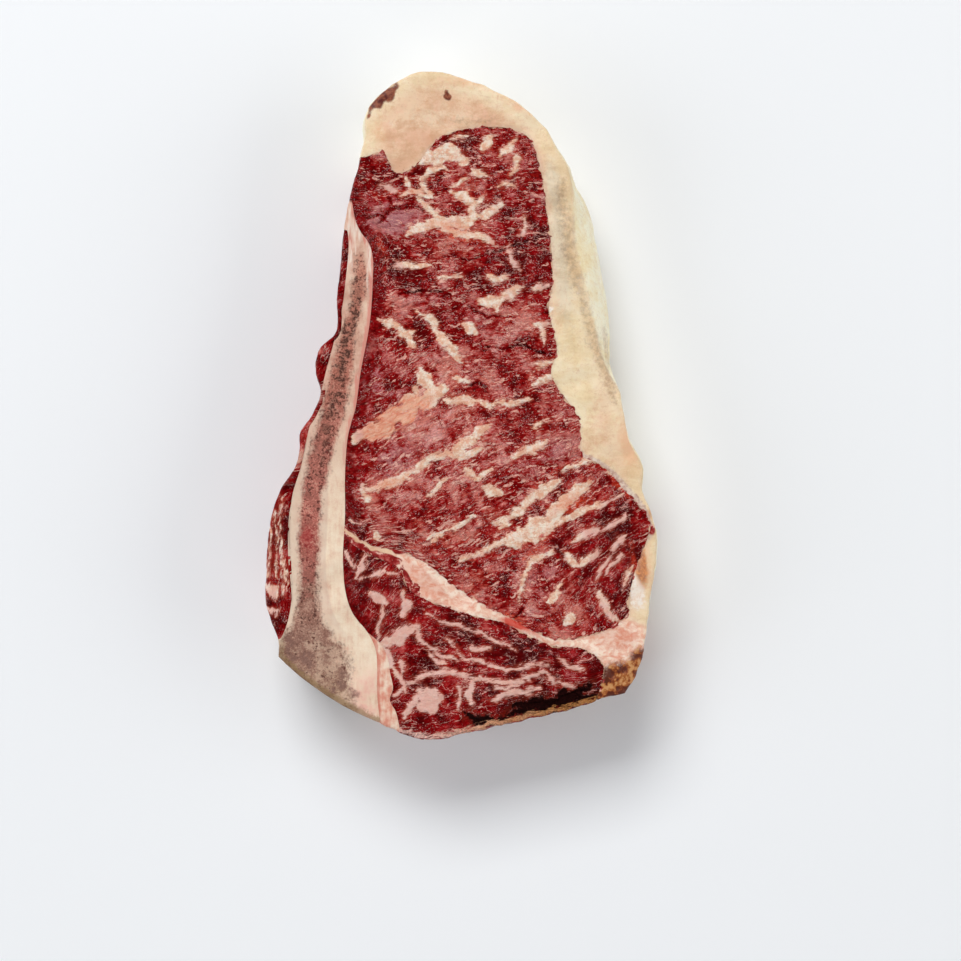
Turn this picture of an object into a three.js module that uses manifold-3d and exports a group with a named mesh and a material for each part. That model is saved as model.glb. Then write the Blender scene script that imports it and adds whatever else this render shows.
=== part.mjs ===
// A raw bone-in strip steak, cut thick and lying on its cut face.
// Millimetres, +Z up, +Y towards the fat tail, origin on the board under the middle of the steak.
//
// The steak is one slab with a hand-cut outline. The bone, the muscles and the fat run right through
// the slab from face to face, so each of them is the slab inside its own outline, with a hairline of
// clearance to the next one.

import * as THREE from "three";
import { mergeVertices } from "three/addons/utils/BufferGeometryUtils.js";
import Module from "manifold-3d";

const wasm = await Module();
wasm.setup();

// Driving dimensions
const LENGTH = 219; // tail to dried edge
const WIDTH = 129; // fat side to the lean left on the bone
const THICKNESS = 38; // a cut of one and a half inches
const CLEARANCE = 0.3; // between neighbouring pieces
const POINT_STEP = 3.6; // along an outline
const FACE_STEP = 4; // over the upper cut face

// The side of the slab, seen from its edge: widest at the belly, tucked in at the board and drawn back
// at the upper face.
const BELLY = 0.42; // height of the widest line, as a share of the thickness
const SIDE_LEVELS = [0, 0.05, 0.2, 0.42, 0.62, 0.8, 0.93, 1];
const RIM_ROUNDING = 0.9; // how far the last twentieth of the side turns in
const HEADROOM = 6; // the sides run on past the face, and the face then cuts them

// Along each edge: how far the belly stands out from the drawn outline, how far the upper rim (shoulder)
// and the lower rim (foot) lie inside the belly, and how far the side wanders in and out (swell)
const EDGES = {
  tail: { belly: 1.4, shoulder: 1.8, foot: 3, swell: 0.5 },
  back: { belly: 0.8, shoulder: 1.4, foot: 3.2, swell: 0.45 },
  corner: { belly: 0.9, shoulder: 1, foot: 2, swell: 0.6 },
  dried: { belly: 1.3, shoulder: 0.7, foot: 1.8, swell: 0.8 },
  sawn: { belly: 0.6, shoulder: 0.2, foot: 0.3, swell: 0.05 },
  left: { belly: 0.6, shoulder: 1, foot: 2, swell: 0.3 },
};
const SWELL = { along: 6.3, up: 8.5 }; // how fast the side wanders
// The fat side slopes out most over this stretch, where the outer fat shows as a pale band. The slope
// sets in fast at both ends (fullness), and its middle lies towards the tail (skew).
const BAND = { low: 4, high: 76, shoulder: 9.6, skew: 1.5, fullness: 0.5 };

// A smooth line through hand-set points, with a point every POINT_STEP
function line(points) {
  const curve = new THREE.CatmullRomCurve3(
    points.map(([x, y]) => new THREE.Vector3(x, y, 0)),
    false,
    "centripetal",
  );
  const steps = Math.max(2, Math.round(curve.getLength() / POINT_STEP));
  return curve.getSpacedPoints(steps).map((p) => new THREE.Vector2(p.x, p.y));
}

// The slab's outline, clockwise from the left end of the tail, edge by edge
const tailEdge = line([
  [-32.5, 78.5], [-30.5, 86], [-30.5, 94], [-28, 99.5], [-16, 107], [-9.5, 108], [-1, 106.5], [12.5, 102],
  [19, 98], [28, 89.5], [36, 76.5],
]);
const backEdge = line([
  [36, 76.5], [41.5, 67.5], [44.5, 54], [47.3, 39.5], [49.2, 25], [49.2, 13.5], [52, 3], [55, -10.5],
  [59.5, -20.5], [59.5, -28], [62.5, -35], [64, -41],
]);
const cornerEdge = line([
  [64, -41], [63, -51.5], [61.5, -62.5], [60.5, -72], [58.5, -82], [56, -89.5], [53.5, -93.5],
]);
const driedEdge = line([
  [53.5, -93.5], [44, -95.5], [32, -98], [19, -102], [3, -105.5], [-10, -108], [-17.5, -106], [-25, -103],
]);
const sawnEdge = line([[-25, -103], [-38.5, -96.5], [-51.5, -87.5], [-58.5, -81.5]]);
const leftEdge = line([
  [-58.5, -81.5], [-59, -76], [-61.5, -69], [-63.2, -63], [-62.8, -52.5], [-61.7, -40], [-58.5, -28],
  [-53, -19.5], [-51.8, -14.5], [-51.8, -9], [-47.8, -2.5], [-45.4, 4.5], [-47, 11], [-45.5, 18],
  [-40.3, 23.5], [-40, 34.5], [-38.8, 45], [-37.8, 56], [-35.7, 68.5], [-32.5, 78.5],
]);

// The lines on the cut face between bone, lean and fat
const boneRight = line([
  [-34.6, 66], [-32.2, 58], [-28.8, 49.5], [-28, 41], [-29, 26.5], [-32, 10.5], [-33.5, -0.5], [-36, -10],
  [-37, -22], [-37, -35], [-37.6, -49.5], [-37, -59.5], [-34.5, -67.5], [-29.5, -74], [-27, -80],
  [-26.5, -95], [-24.5, -110],
]);
const boneLeft = line([
  [-36, 66], [-35.9, 54], [-36.6, 42], [-37.6, 33.5], [-39.3, 25.5], [-41.2, 18], [-43, 11.5], [-44.3, 6],
  [-45.6, 1], [-47.6, -4.5], [-49.1, -10], [-50.1, -15.2], [-51.3, -20.4], [-54.1, -30], [-54.7, -43],
  [-54.2, -62.4], [-55.9, -71.5], [-57.8, -76], [-62, -88],
]);
const eyeAgainstFat = line([
  [-38, 79.5], [-32, 79.5], [-25, 81.5], [-20.5, 75], [-14, 77.5], [-9.5, 83.5], [-1.5, 88.5], [17, 89.3],
  [23, 85.5], [28, 63.5], [30, 40], [28.8, 31.5], [31.3, 17], [29.5, 10], [38.5, -5], [39.5, -16.5],
  [44, -18.5], [48.2, -21.7], [52, -26.4], [56.3, -31], [60.6, -36.4], [61.5, -39.4], [60.6, -43.2],
  [58.2, -49.5], [55.9, -56], [54.7, -63], [54, -67.8], [50.1, -71.6], [43.7, -74.2], [35.3, -76],
  [28.8, -75.4], [12.5, -67],
]);
const eyeAgainstSeam = line([
  [12.5, -67], [5, -63], [-3, -57.5], [-10.5, -51.5], [-19.5, -47.2], [-29.5, -45], [-36.5, -39],
]);
const seamAgainstLower = line([
  [-37.5, -43], [-30, -48], [-19.5, -53], [-16, -60], [-5, -65.3], [5.5, -68.5], [14, -70.5], [25, -76],
  [32, -78.3], [40, -79], [46, -83.5], [46.5, -88], [44, -96], [41, -104],
]);
const bandRight = line([
  [-29.5, -73.5], [-25, -78], [-23, -82.5], [-22.5, -86.5], [-21.5, -91.5], [-22.5, -95.5], [-20.5, -99.5],
  [-18.5, -110],
]);
// The spongy middle of the bone, which the saw has left a little below its hard walls
const SPONGE_DEPTH = 0.5;
const spongeRight = line([
  [-31.2, 48.5], [-30.2, 44], [-30.2, 38], [-31.2, 33], [-32.4, 27.5], [-33.8, 21.5], [-34.5, 15],
  [-35.2, 8.5], [-37.2, -2.5], [-39, -8.5], [-40.9, -14.5], [-42.8, -23.5], [-44.4, -30], [-45.4, -50],
  [-45.6, -62.5], [-44.3, -69], [-41.7, -73.5], [-36.9, -78.6], [-36.2, -85], [-35.6, -91.5], [-33, -104],
]);
const spongeLeft = line([
  [-33.4, 48.5], [-34.2, 41], [-35.5, 34], [-36.8, 28], [-38.6, 22], [-40, 15.8], [-42, 9.8], [-43.2, 4],
  [-44.6, -2.3], [-46.4, -8.3], [-48, -14.2], [-49.4, -21], [-50.4, -30], [-51.3, -43], [-51.1, -62],
  [-52, -73], [-54.2, -78.6], [-57.5, -92],
]);

// Points in order round a piece, from lines that run the same way, each as drawn or turned back
const loop = (...lines) =>
  lines.flat().filter((p, i, all) => p.distanceTo(all[(i + 1) % all.length]) > 0.05);
const back = (points) => [...points].reverse();
const at = (...pairs) => pairs.map(([x, y]) => new THREE.Vector2(x, y));
const above = (points, y) => points.filter((p) => p.y > y);
const below = (points, y) => points.filter((p) => p.y < y);

// The unit vector that points out of a loop at each of its points
function outward(points) {
  const turn = Math.sign(THREE.ShapeUtils.area(points));
  return points.map((p, i) => {
    const before = points.at(i - 1);
    const after = points[(i + 1) % points.length];
    const along = after.clone().sub(before).normalize();
    return new THREE.Vector2(along.y, -along.x).multiplyScalar(turn);
  });
}

// A loop moved outwards by a distance, or by one distance for each point
function grown(points, by) {
  const normals = outward(points);
  return points.map((p, i) =>
    p.clone().addScaledVector(normals[i], Array.isArray(by) ? by[i] : by),
  );
}

// Three.js geometry to solid and back
function solidFrom(geometry) {
  const bare = new THREE.BufferGeometry().setAttribute("position", geometry.getAttribute("position"));
  if (geometry.index) bare.setIndex(geometry.index);
  const merged = mergeVertices(bare, 1e-4);
  return new wasm.Manifold(
    new wasm.Mesh({
      numProp: 3,
      vertProperties: merged.attributes.position.array,
      triVerts: new Uint32Array(merged.index.array),
    }),
  );
}

function geometryFrom(solid) {
  const { vertProperties, triVerts } = solid.getMesh();
  const geometry = new THREE.BufferGeometry()
    .setAttribute("position", new THREE.BufferAttribute(vertProperties, 3))
    .setIndex(new THREE.BufferAttribute(triVerts, 1));
  geometry.computeVertexNormals();
  return geometry;
}

// An upright block with the given outline, between two heights
function prism(points, low = -HEADROOM, high = THICKNESS + 2 * HEADROOM) {
  const shape = new THREE.Shape(points);
  const geometry = new THREE.ExtrudeGeometry(shape, { depth: high - low, bevelEnabled: false });
  return solidFrom(geometry.translate(0, 0, low));
}

// A body skinned over rings of equal length, one above the other, with flat ends
function skinned(rings) {
  const count = rings[0].length;
  const positions = rings.flat().flatMap((p) => [p.x, p.y, p.z]);
  const index = [];
  for (let level = 0; level + 1 < rings.length; level++) {
    for (let i = 0; i < count; i++) {
      const a = level * count + i;
      const b = level * count + ((i + 1) % count);
      index.push(a, b, b + count, a, b + count, a + count);
    }
  }
  const last = (rings.length - 1) * count;
  const flat = (ring) => ring.map((p) => new THREE.Vector2(p.x, p.y));
  THREE.ShapeUtils.triangulateShape(flat(rings[0]), []).forEach(([a, b, c]) => index.push(a, c, b));
  THREE.ShapeUtils.triangulateShape(flat(rings.at(-1)), []).forEach(([a, b, c]) =>
    index.push(last + a, last + b, last + c),
  );
  return solidFrom(
    new THREE.BufferGeometry()
      .setAttribute("position", new THREE.Float32BufferAttribute(positions, 3))
      .setIndex(index),
  );
}

// Smooth step from 0 at the first value to 1 at the second
const ease = (from, to, v) => THREE.MathUtils.smoothstep(v, from, to);

// How far the side at a point of the outline stands out from it, at a share of the thickness
function overhang(p, share, { belly, shoulder, foot, swell }) {
  const up = Math.max(0, (share - BELLY) / (1 - BELLY));
  const down = Math.max(0, (BELLY - share) / BELLY);
  const rim = RIM_ROUNDING * Math.min(1, shoulder) * (ease(0.93, 1, share) + 1 - ease(0, 0.05, share));
  const height = (share * THICKNESS) / SWELL.up;
  const wander = Math.sin(p.y / SWELL.along + height) * Math.sin(p.x / SWELL.along + 1 - height);
  return belly - shoulder * up ** 2 - foot * down ** 2 - rim + swell * wander * ease(0, 0.2, share);
}

// The form of the side at each point of the outline, blended from one edge to the next
function sideForms(edges) {
  const raw = edges.flatMap(([name, points]) =>
    points.slice(1).map((p) => {
      const share = THREE.MathUtils.clamp((p.y - BAND.low) / (BAND.high - BAND.low), 0, 1);
      const rise = Math.sin(Math.PI * share ** BAND.skew) ** BAND.fullness;
      const slope = name === "back" ? BAND.shoulder * rise : 0;
      return { ...EDGES[name], shoulder: Math.max(EDGES[name].shoulder, slope) };
    }),
  );
  const mean = (i, key) =>
    [-1, 0, 1].reduce((sum, d) => sum + raw.at((i + d) % raw.length)[key], 0) / 3;
  const keys = Object.keys(raw[0]);
  return raw.map((_, i) => Object.fromEntries(keys.map((key) => [key, mean(i, key)])));
}

// Hollows and swells of the upper face: middle, half length, half width, turn in degrees, rise
const FACE_FORMS = [
  [-26, 69, 9.5, 3.4, 4, -3.6], // the fold beside the bone's tip
  [-20, 66, 5, 1.8, -60, -1.2], // a crack running out of the fold
  [-17, -52, 20, 5, -32, -0.9], // the seam sinks between the two muscles
  [-31, 0, 5, 40, 8, -0.8], // the lean draws back from the bone
  [6, -20, 34, 26, 20, 0.8], // the eye swells
  [2, 55, 26, 20, 0, 0.6],
  [12, -88, 26, 9, 10, 0.7], // the lower muscle swells
  [44, -50, 12, 14, 0, -0.6],
  [-6, 96, 26, 9, 0, -1], // the tail fat hangs a little
];
// Bundles of lean, long with the grain and narrow across it
const BUNDLE = { length: 13, width: 6.5, height: 0.7 };

// A number between -1 and 1 for a point of a unit grid, always the same for the same point
function chance(i, j) {
  const raw = Math.sin(i * 127.1 + j * 311.7) * 43758.5453;
  return 2 * (raw - Math.floor(raw)) - 1;
}

// Smooth lumps between those numbers
function lumps(x, y) {
  const [i, j] = [Math.floor(x), Math.floor(y)];
  const [u, v] = [ease(0, 1, x - i), ease(0, 1, y - j)];
  const low = THREE.MathUtils.lerp(chance(i, j), chance(i + 1, j), u);
  const high = THREE.MathUtils.lerp(chance(i, j + 1), chance(i + 1, j + 1), u);
  return THREE.MathUtils.lerp(low, high, v);
}

function faceHeight(x, y) {
  let z = THICKNESS;
  for (const [cx, cy, rx, ry, turn, rise] of FACE_FORMS) {
    const angle = THREE.MathUtils.degToRad(turn);
    const u = ((x - cx) * Math.cos(angle) + (y - cy) * Math.sin(angle)) / rx;
    const v = ((y - cy) * Math.cos(angle) - (x - cx) * Math.sin(angle)) / ry;
    z += rise * Math.exp(-(u * u + v * v));
  }
  // the grain leans over from level at the tail to steep at the dried edge
  const grain = THREE.MathUtils.degToRad(8 + 26 * ease(70, -60, y));
  const along = x * Math.cos(grain) + y * Math.sin(grain);
  const across = y * Math.cos(grain) - x * Math.sin(grain);
  return z + BUNDLE.height * lumps(along / BUNDLE.length, across / BUNDLE.width);
}

// The whole slab: its sides skinned over the outline, under the uneven upper face
function slab() {
  const edges = [
    ["tail", tailEdge], ["back", backEdge], ["corner", cornerEdge],
    ["dried", driedEdge], ["sawn", sawnEdge], ["left", leftEdge],
  ];
  const outline = edges.flatMap(([, points]) => points.slice(1));
  const forms = sideForms(edges);
  const ring = (share, z) =>
    grown(outline, outline.map((p, i) => overhang(p, share, forms[i])))
      .map((p) => new THREE.Vector3(p.x, p.y, z))
      .reverse();
  const levels = SIDE_LEVELS.map((share) => ring(share, share * THICKNESS));
  const trunk = skinned([...levels, ring(1, THICKNESS + HEADROOM)]);

  const wide = WIDTH + 4 * POINT_STEP;
  const long = LENGTH + 4 * POINT_STEP;
  const block = new THREE.BoxGeometry(
    wide, long, THICKNESS + HEADROOM,
    Math.round(wide / FACE_STEP), Math.round(long / FACE_STEP), 1,
  ).translate(0, 0, (THICKNESS - HEADROOM) / 2);
  const corners = block.getAttribute("position");
  for (let i = 0; i < corners.count; i++)
    if (corners.getZ(i) > 0) corners.setZ(i, faceHeight(corners.getX(i), corners.getY(i)));
  return trunk.intersect(solidFrom(block));
}

// The largest of the bodies that a cut leaves
const largest = (solid) => solid.decompose().sort((a, b) => b.volume() - a.volume())[0];

const steak = slab();
const boneLoop = loop(boneRight, back(boneLeft));
const bandLoop = loop(below(boneRight, -74), back(bandRight));
const lowerLoop = loop(
  seamAgainstLower, at([-14, -118]), back(bandRight), back(above(below(boneRight, -43), -73)),
);
const eyeLoop = loop(
  eyeAgainstFat, eyeAgainstSeam, back(above(boneRight, -38)), at([-46, 69], [-46, 79.5]),
);
const spongeLoop = loop(spongeRight, back(spongeLeft));

const room = (points) => prism(grown(points, CLEARANCE));

const bone = () =>
  largest(steak.intersect(prism(boneLoop)).subtract(prism(spongeLoop, THICKNESS - SPONGE_DEPTH)));

const gristleBand = () => largest(steak.intersect(prism(bandLoop)).subtract(room(boneLoop)));

const lowerMuscle = () =>
  largest(steak.intersect(prism(lowerLoop)).subtract(room(boneLoop)).subtract(room(bandLoop)));

const eyeMuscle = () => largest(steak.intersect(prism(eyeLoop)).subtract(room(boneLoop)));

// Cap, corner and seam are one body of fat: what the bone and the muscles leave to their right
function fat() {
  const rightOfBone = loop(
    boneRight, at([70, -118], [80, 118], [-60, 118], [-60, 79.5]),
  );
  return largest(
    [boneLoop, bandLoop, lowerLoop, eyeLoop].reduce(
      (left, points) => left.subtract(room(points)),
      steak.intersect(prism(rightOfBone)),
    ),
  );
}

// Lean left on the outside of the bone
function sideMuscle() {
  const outside = loop(boneLeft, at([-90, -88], [-90, 68]));
  return largest(steak.intersect(prism(outside)).subtract(room(boneLoop)));
}

// The slab is drawn at hand and then brought to its length and width, over the middle of its base
const drawn = steak.boundingBox();
const fit = new THREE.Matrix4()
  .makeScale(WIDTH / (drawn.max[0] - drawn.min[0]), LENGTH / (drawn.max[1] - drawn.min[1]), 1)
  .multiply(
    new THREE.Matrix4().makeTranslation(
      -(drawn.max[0] + drawn.min[0]) / 2, -(drawn.max[1] + drawn.min[1]) / 2, 0,
    ),
  );

const LEAN = new THREE.MeshStandardMaterial({ color: 0x7d2327, roughness: 0.35, metalness: 0 });
const FAT = new THREE.MeshStandardMaterial({ color: 0xe9cfa9, roughness: 0.5, metalness: 0 });
const BONE = new THREE.MeshStandardMaterial({ color: 0xd8c2a6, roughness: 0.6, metalness: 0 });
const GRISTLE = new THREE.MeshStandardMaterial({ color: 0xe3b9a2, roughness: 0.45, metalness: 0 });

const pieces = [
  ["eye_muscle", eyeMuscle(), LEAN],
  ["lower_muscle", lowerMuscle(), LEAN],
  ["fat_cap", fat(), FAT],
  ["bone", bone(), BONE],
  ["gristle_band", gristleBand(), GRISTLE],
  ["side_muscle", sideMuscle(), LEAN],
];

const group = new THREE.Group();
for (const [name, solid, material] of pieces) {
  const mesh = new THREE.Mesh(geometryFrom(solid).applyMatrix4(fit), material);
  mesh.name = name;
  group.add(mesh);
}

export default group;
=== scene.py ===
# %% [markdown]
# # A raw beef steak on the bone
#
# The solids give the steak its size and its pieces: one slab, cut through into bone, lean and fat. This
# lesson dresses each of them with a fine surface of its own. A steak is a good subject for grids worked
# out with numpy, because everything that the eye reads in it, the outline, the lumpy cut face, the
# marbling and the grain, is a function of the place on the slab.

# %% Load the frame
import math
from functools import partial

import bmesh
import bpy
import numpy as np
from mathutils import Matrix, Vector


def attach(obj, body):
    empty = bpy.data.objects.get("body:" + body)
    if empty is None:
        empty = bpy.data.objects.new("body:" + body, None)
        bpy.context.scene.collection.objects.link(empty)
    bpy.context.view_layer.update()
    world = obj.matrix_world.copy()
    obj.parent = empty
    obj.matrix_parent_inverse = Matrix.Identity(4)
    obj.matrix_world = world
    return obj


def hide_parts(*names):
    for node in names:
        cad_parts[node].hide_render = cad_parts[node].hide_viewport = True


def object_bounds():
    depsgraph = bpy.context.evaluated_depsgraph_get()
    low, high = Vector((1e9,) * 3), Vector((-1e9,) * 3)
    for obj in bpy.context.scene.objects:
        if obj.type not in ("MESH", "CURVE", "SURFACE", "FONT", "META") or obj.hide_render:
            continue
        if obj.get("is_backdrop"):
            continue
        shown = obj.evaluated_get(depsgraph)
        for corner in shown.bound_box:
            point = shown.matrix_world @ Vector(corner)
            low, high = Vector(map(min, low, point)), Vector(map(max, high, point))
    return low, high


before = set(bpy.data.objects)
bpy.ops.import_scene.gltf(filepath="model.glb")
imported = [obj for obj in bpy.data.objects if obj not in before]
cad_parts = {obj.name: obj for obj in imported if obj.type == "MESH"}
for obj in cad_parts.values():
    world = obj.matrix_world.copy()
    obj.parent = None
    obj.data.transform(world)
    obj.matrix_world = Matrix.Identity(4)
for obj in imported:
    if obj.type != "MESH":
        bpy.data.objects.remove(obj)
CAD_LOW, CAD_HIGH = (np.array(corner) * 1000 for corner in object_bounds())
THICKNESS = 38.0  # mm, the plane of the upper cut face
FINE = 0.47  # mm between points on the upper face
print("frame in mm:", CAD_LOW.round(2), CAD_HIGH.round(2))

# %% [markdown]
# ## Lines
#
# A butcher's cut has no straight lines and no arcs. It could be drawn with Bezier handles, but a smooth
# line through a few points needs no handles, and the solids were drawn in the same way, so the pieces
# here fit them. All drawing is in millimetres, with the fat tail at the top and the bone at the left.

# %% A smooth line through points
def spaced(points, step=None, count=None):
    """Points at equal distances along a chain of points, by linear interpolation over its length."""
    length = np.concatenate([[0], np.cumsum(np.hypot(*np.diff(points, axis=0).T))])
    count = count or max(2, round(length[-1] / step))
    at = np.linspace(0, length[-1], count + 1)
    return np.stack([np.interp(at, length, points[:, axis]) for axis in (0, 1)], 1)


def line(*points, step=0.2):
    """Centripetal Catmull-Rom: each stretch is a cubic, and its end slopes come from the neighbouring
    points, weighted by the square roots of the distances to them."""
    p = np.array(points, float)
    p = np.vstack([2 * p[0] - p[1], p, 2 * p[-1] - p[-2]])
    a, b, c, d = p[:-3], p[1:-2], p[2:-1], p[3:]
    ab, bc, cd = (np.sqrt(np.hypot(*(v - u).T))[:, None] for u, v in ((a, b), (b, c), (c, d)))
    leave = ((b - a) / ab - (c - a) / (ab + bc) + (c - b) / bc) * bc
    arrive = ((c - b) / bc - (d - b) / (bc + cd) + (d - c) / cd) * bc
    t = np.linspace(0, 1, 40, endpoint=False)[None, :, None]
    b, c, leave, arrive = (v[:, None, :] for v in (b, c, leave, arrive))
    cubic = b + leave * t + (3 * (c - b) - 2 * leave - arrive) * t**2 + (2 * (b - c) + leave + arrive) * t**3
    return spaced(np.vstack([cubic.reshape(-1, 2), p[-2]]), step)


# %% The edges of the slab, clockwise from the left end of the tail
OUTLINE = {
    "tail": line(
        (-32.5, 78.5), (-30.5, 86), (-30.5, 94), (-28, 99.5), (-16, 107), (-9.5, 108), (-1, 106.5),
        (12.5, 102), (19, 98), (28, 89.5), (36, 76.5),
    ),
    "back": line(
        (36, 76.5), (41.5, 67.5), (44.5, 54), (47.3, 39.5), (49.2, 25), (49.2, 13.5), (52, 3),
        (55, -10.5), (59.5, -20.5), (59.5, -28), (62.5, -35), (64, -41),
    ),
    "corner": line(
        (64, -41), (63, -51.5), (61.5, -62.5), (60.5, -72), (58.5, -82), (56, -89.5), (53.5, -93.5),
    ),
    "dried": line(
        (53.5, -93.5), (44, -95.5), (32, -98), (19, -102), (3, -105.5), (-10, -108), (-17.5, -106),
        (-25, -103),
    ),
    "sawn": line((-25, -103), (-38.5, -96.5), (-51.5, -87.5), (-58.5, -81.5)),
    "left": line(
        (-58.5, -81.5), (-59, -76), (-61.5, -69), (-63.2, -63), (-62.8, -52.5), (-61.7, -40), (-58.5, -28),
        (-53, -19.5), (-51.8, -14.5), (-51.8, -9), (-47.8, -2.5), (-45.4, 4.5), (-47, 11), (-45.5, 18),
        (-40.3, 23.5), (-40, 34.5), (-38.8, 45), (-37.8, 56), (-35.7, 68.5), (-32.5, 78.5),
    ),
}

# %% The lines on the cut face between bone, lean and fat
BONE_RIGHT = line(
    (-37.5, 73), (-35.2, 67.4), (-33.6, 59.6), (-32.0, 56), (-29.2, 52), (-28, 47), (-28, 41),
    (-29, 26.5), (-32, 10.5),
    (-33.5, -0.5), (-36, -10), (-37, -22), (-37, -35), (-37.6, -49.5), (-37, -59.5), (-34.5, -67.5),
    (-29.5, -74), (-27, -80), (-26.5, -95), (-24.5, -110),
)
BONE_LEFT = line(
    (-40, 61), (-36.9, 58), (-35.9, 53), (-36.6, 42), (-37.6, 33.5), (-39.3, 25.5), (-41.2, 18),
    (-43, 11.5), (-44.3, 6), (-45.6, 1), (-47.6, -4.5), (-49.1, -10), (-50.1, -15.2), (-51.3, -20.4),
    (-54.1, -30), (-54.7, -43), (-54.2, -62.4), (-55.9, -71.5), (-57.8, -76), (-62, -88),
)
EYE_AGAINST_FAT = line(
    (-38, 79.5), (-32, 79.5), (-25, 81.5), (-20.5, 75), (-14, 77.5), (-9.5, 83.5), (-1.5, 88.5),
    (17, 89.3), (23, 85.5), (28, 63.5), (30, 40), (28.8, 31.5), (31.3, 17), (29.5, 10), (38.5, -5),
    (39.5, -16.5), (44, -18.5), (48.2, -21.7), (52, -26.4), (56.3, -31), (60.6, -36.4), (61.5, -39.4),
    (60.6, -43.2), (58.2, -49.5), (55.9, -56), (54.7, -63), (54, -67.8), (50.1, -71.6), (43.7, -74.2),
    (35.3, -76), (28.8, -75.4), (12.5, -67),
)
EYE_AGAINST_SEAM = line(
    (12.5, -67), (5, -63), (-3, -57.5), (-10.5, -51.5), (-19.5, -47.2), (-29.5, -45), (-37, -39),
    (-40, -36),
)
SEAM_AGAINST_LOWER = line(
    (-41, -40.5), (-37.5, -43), (-30, -48), (-19.5, -53), (-16, -60), (-5, -65.3), (5.5, -68.5),
    (14, -70.5), (25, -76), (32, -78.3), (40, -79), (46, -83.5), (46.5, -88), (44, -96), (41, -104),
)
BAND_RIGHT = line(
    (-29.5, -73.8), (-25, -78), (-23, -82.5), (-22.5, -86.5), (-21.5, -91.5), (-22.5, -95.5),
    (-20.5, -99.5), (-18.5, -110),
)
SPONGE_RIGHT = line(
    (-31.2, 48.5), (-30.2, 44), (-30.2, 38), (-31.2, 33), (-32.4, 27.5), (-33.8, 21.5), (-34.5, 15),
    (-35.2, 8.5), (-37.2, -2.5), (-39, -8.5), (-40.9, -14.5), (-42.8, -23.5), (-44.4, -30), (-45.4, -50),
    (-45.6, -62.5), (-44.3, -69), (-41.7, -73.5), (-36.9, -78.6), (-36.2, -85), (-35.6, -91.5), (-33, -104),
)
SPONGE_LEFT = line(
    (-33.4, 48.5), (-34.2, 41), (-35.5, 34), (-36.8, 28), (-38.6, 22), (-40, 15.8), (-42, 9.8), (-43.2, 4),
    (-44.6, -2.3), (-46.4, -8.3), (-48, -14.2), (-49.6, -21), (-51, -30), (-52.1, -43), (-51.9, -58),
    (-52.8, -66), (-55.2, -73), (-58.2, -79), (-63, -88),
)
print("outline of", sum(map(len, OUTLINE.values())), "points")

# %% [markdown]
# ## Chance that repeats
#
# Meat is irregular everywhere, and each run has to give the same steak. Blender's noise textures do
# that in a shader, but the shapes here are made before any shader runs. So the numbers come from a
# fixed hash of a grid place, and smooth noise and cells are built on it.

# %% Noise and cells
def ease(low, high, v):
    """Smooth step: 0 below low, 1 above high, and 3t^2 - 2t^3 between."""
    t = np.clip((v - low) / (high - low), 0, 1)
    return t * t * (3 - 2 * t)


def chance(i, j, k=0.0):
    """A number between -1 and 1: the broken part of a large sine of the grid place."""
    raw = np.sin(i * 127.1 + j * 311.7 + k * 74.7) * 43758.5453
    return 2 * (raw - np.floor(raw)) - 1


def lumps(x, y):
    """Chance numbers on a unit grid, blended smoothly between the four nearest."""
    i, j = np.floor(x), np.floor(y)
    u, v = ease(0, 1, x - i), ease(0, 1, y - j)
    low = chance(i, j) * (1 - u) + chance(i + 1, j) * u
    high = chance(i, j + 1) * (1 - u) + chance(i + 1, j + 1) * u
    return low * (1 - v) + high * v


def noise(x, y, z=0.0, octaves=1):
    """Gradient noise in three dimensions: at each corner of a unit cube stands a slope in a chance
    direction, and the slopes' heights are blended. Each octave adds half the size at half the height."""
    total = 0.0
    for octave in range(octaves):
        f = 2.0**octave
        x0, y0, z0 = np.broadcast_arrays(x * f + 17 * octave, y * f - 9 * octave, z * f + 0.0)
        i, j, k = np.floor(x0), np.floor(y0), np.floor(z0)
        u, v, w = x0 - i, y0 - j, z0 - k
        value = 0.0
        for a in (0, 1):
            for b in (0, 1):
                for c in (0, 1):
                    turn = math.pi * chance(i + a, j + b, k + c)
                    rise = chance(j + b, k + c, i + a + 31)
                    height = np.cos(turn) * (u - a) + np.sin(turn) * (v - b) + rise * (w - c)
                    near = ease(0, 1, 1 - abs(u - a)) * ease(0, 1, 1 - abs(v - b))
                    value = value + height * near * ease(0, 1, 1 - abs(w - c))
        total = total + value / f
    return total * 1.4


def cells(x, y):
    """Voronoi cells: each unit square holds one chance point. Gives the difference between the second
    and the first distance, which is zero on a border, and the nearest point's own number."""
    i, j = np.floor(x), np.floor(y)
    first = np.full(np.shape(x), 9.0)
    second = first.copy()
    own = np.zeros(np.shape(x))
    for a in (-1, 0, 1):
        for b in (-1, 0, 1):
            px = i + a + 0.5 + 0.45 * chance(i + a, j + b, 5)
            py = j + b + 0.5 + 0.45 * chance(i + a, j + b, 11)
            d = np.hypot(x - px, y - py)
            nearer = d < first
            second = np.where(nearer, first, np.minimum(second, d))
            own = np.where(nearer, chance(i + a, j + b, 23), own)
            first = np.where(nearer, d, first)
    return second - first, own


# %% [markdown]
# ## The side of the slab
#
# Seen from its edge the steak bellies out, draws in at the board and at the upper rim, and wanders a
# little. On the fat side the upper rim lies well inside the belly, so from above the outer fat shows as
# a pale band. The form is the solids' own, with a rounded rim and finer swells on top.

# %% The form of the side
BELLY = 0.42  # height of the widest line, as a share of the thickness
RIM = 0.95  # mm, radius of the soft edge round the upper face
FOOT_RIM = 1.6  # mm, radius of the edge at the board
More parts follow.
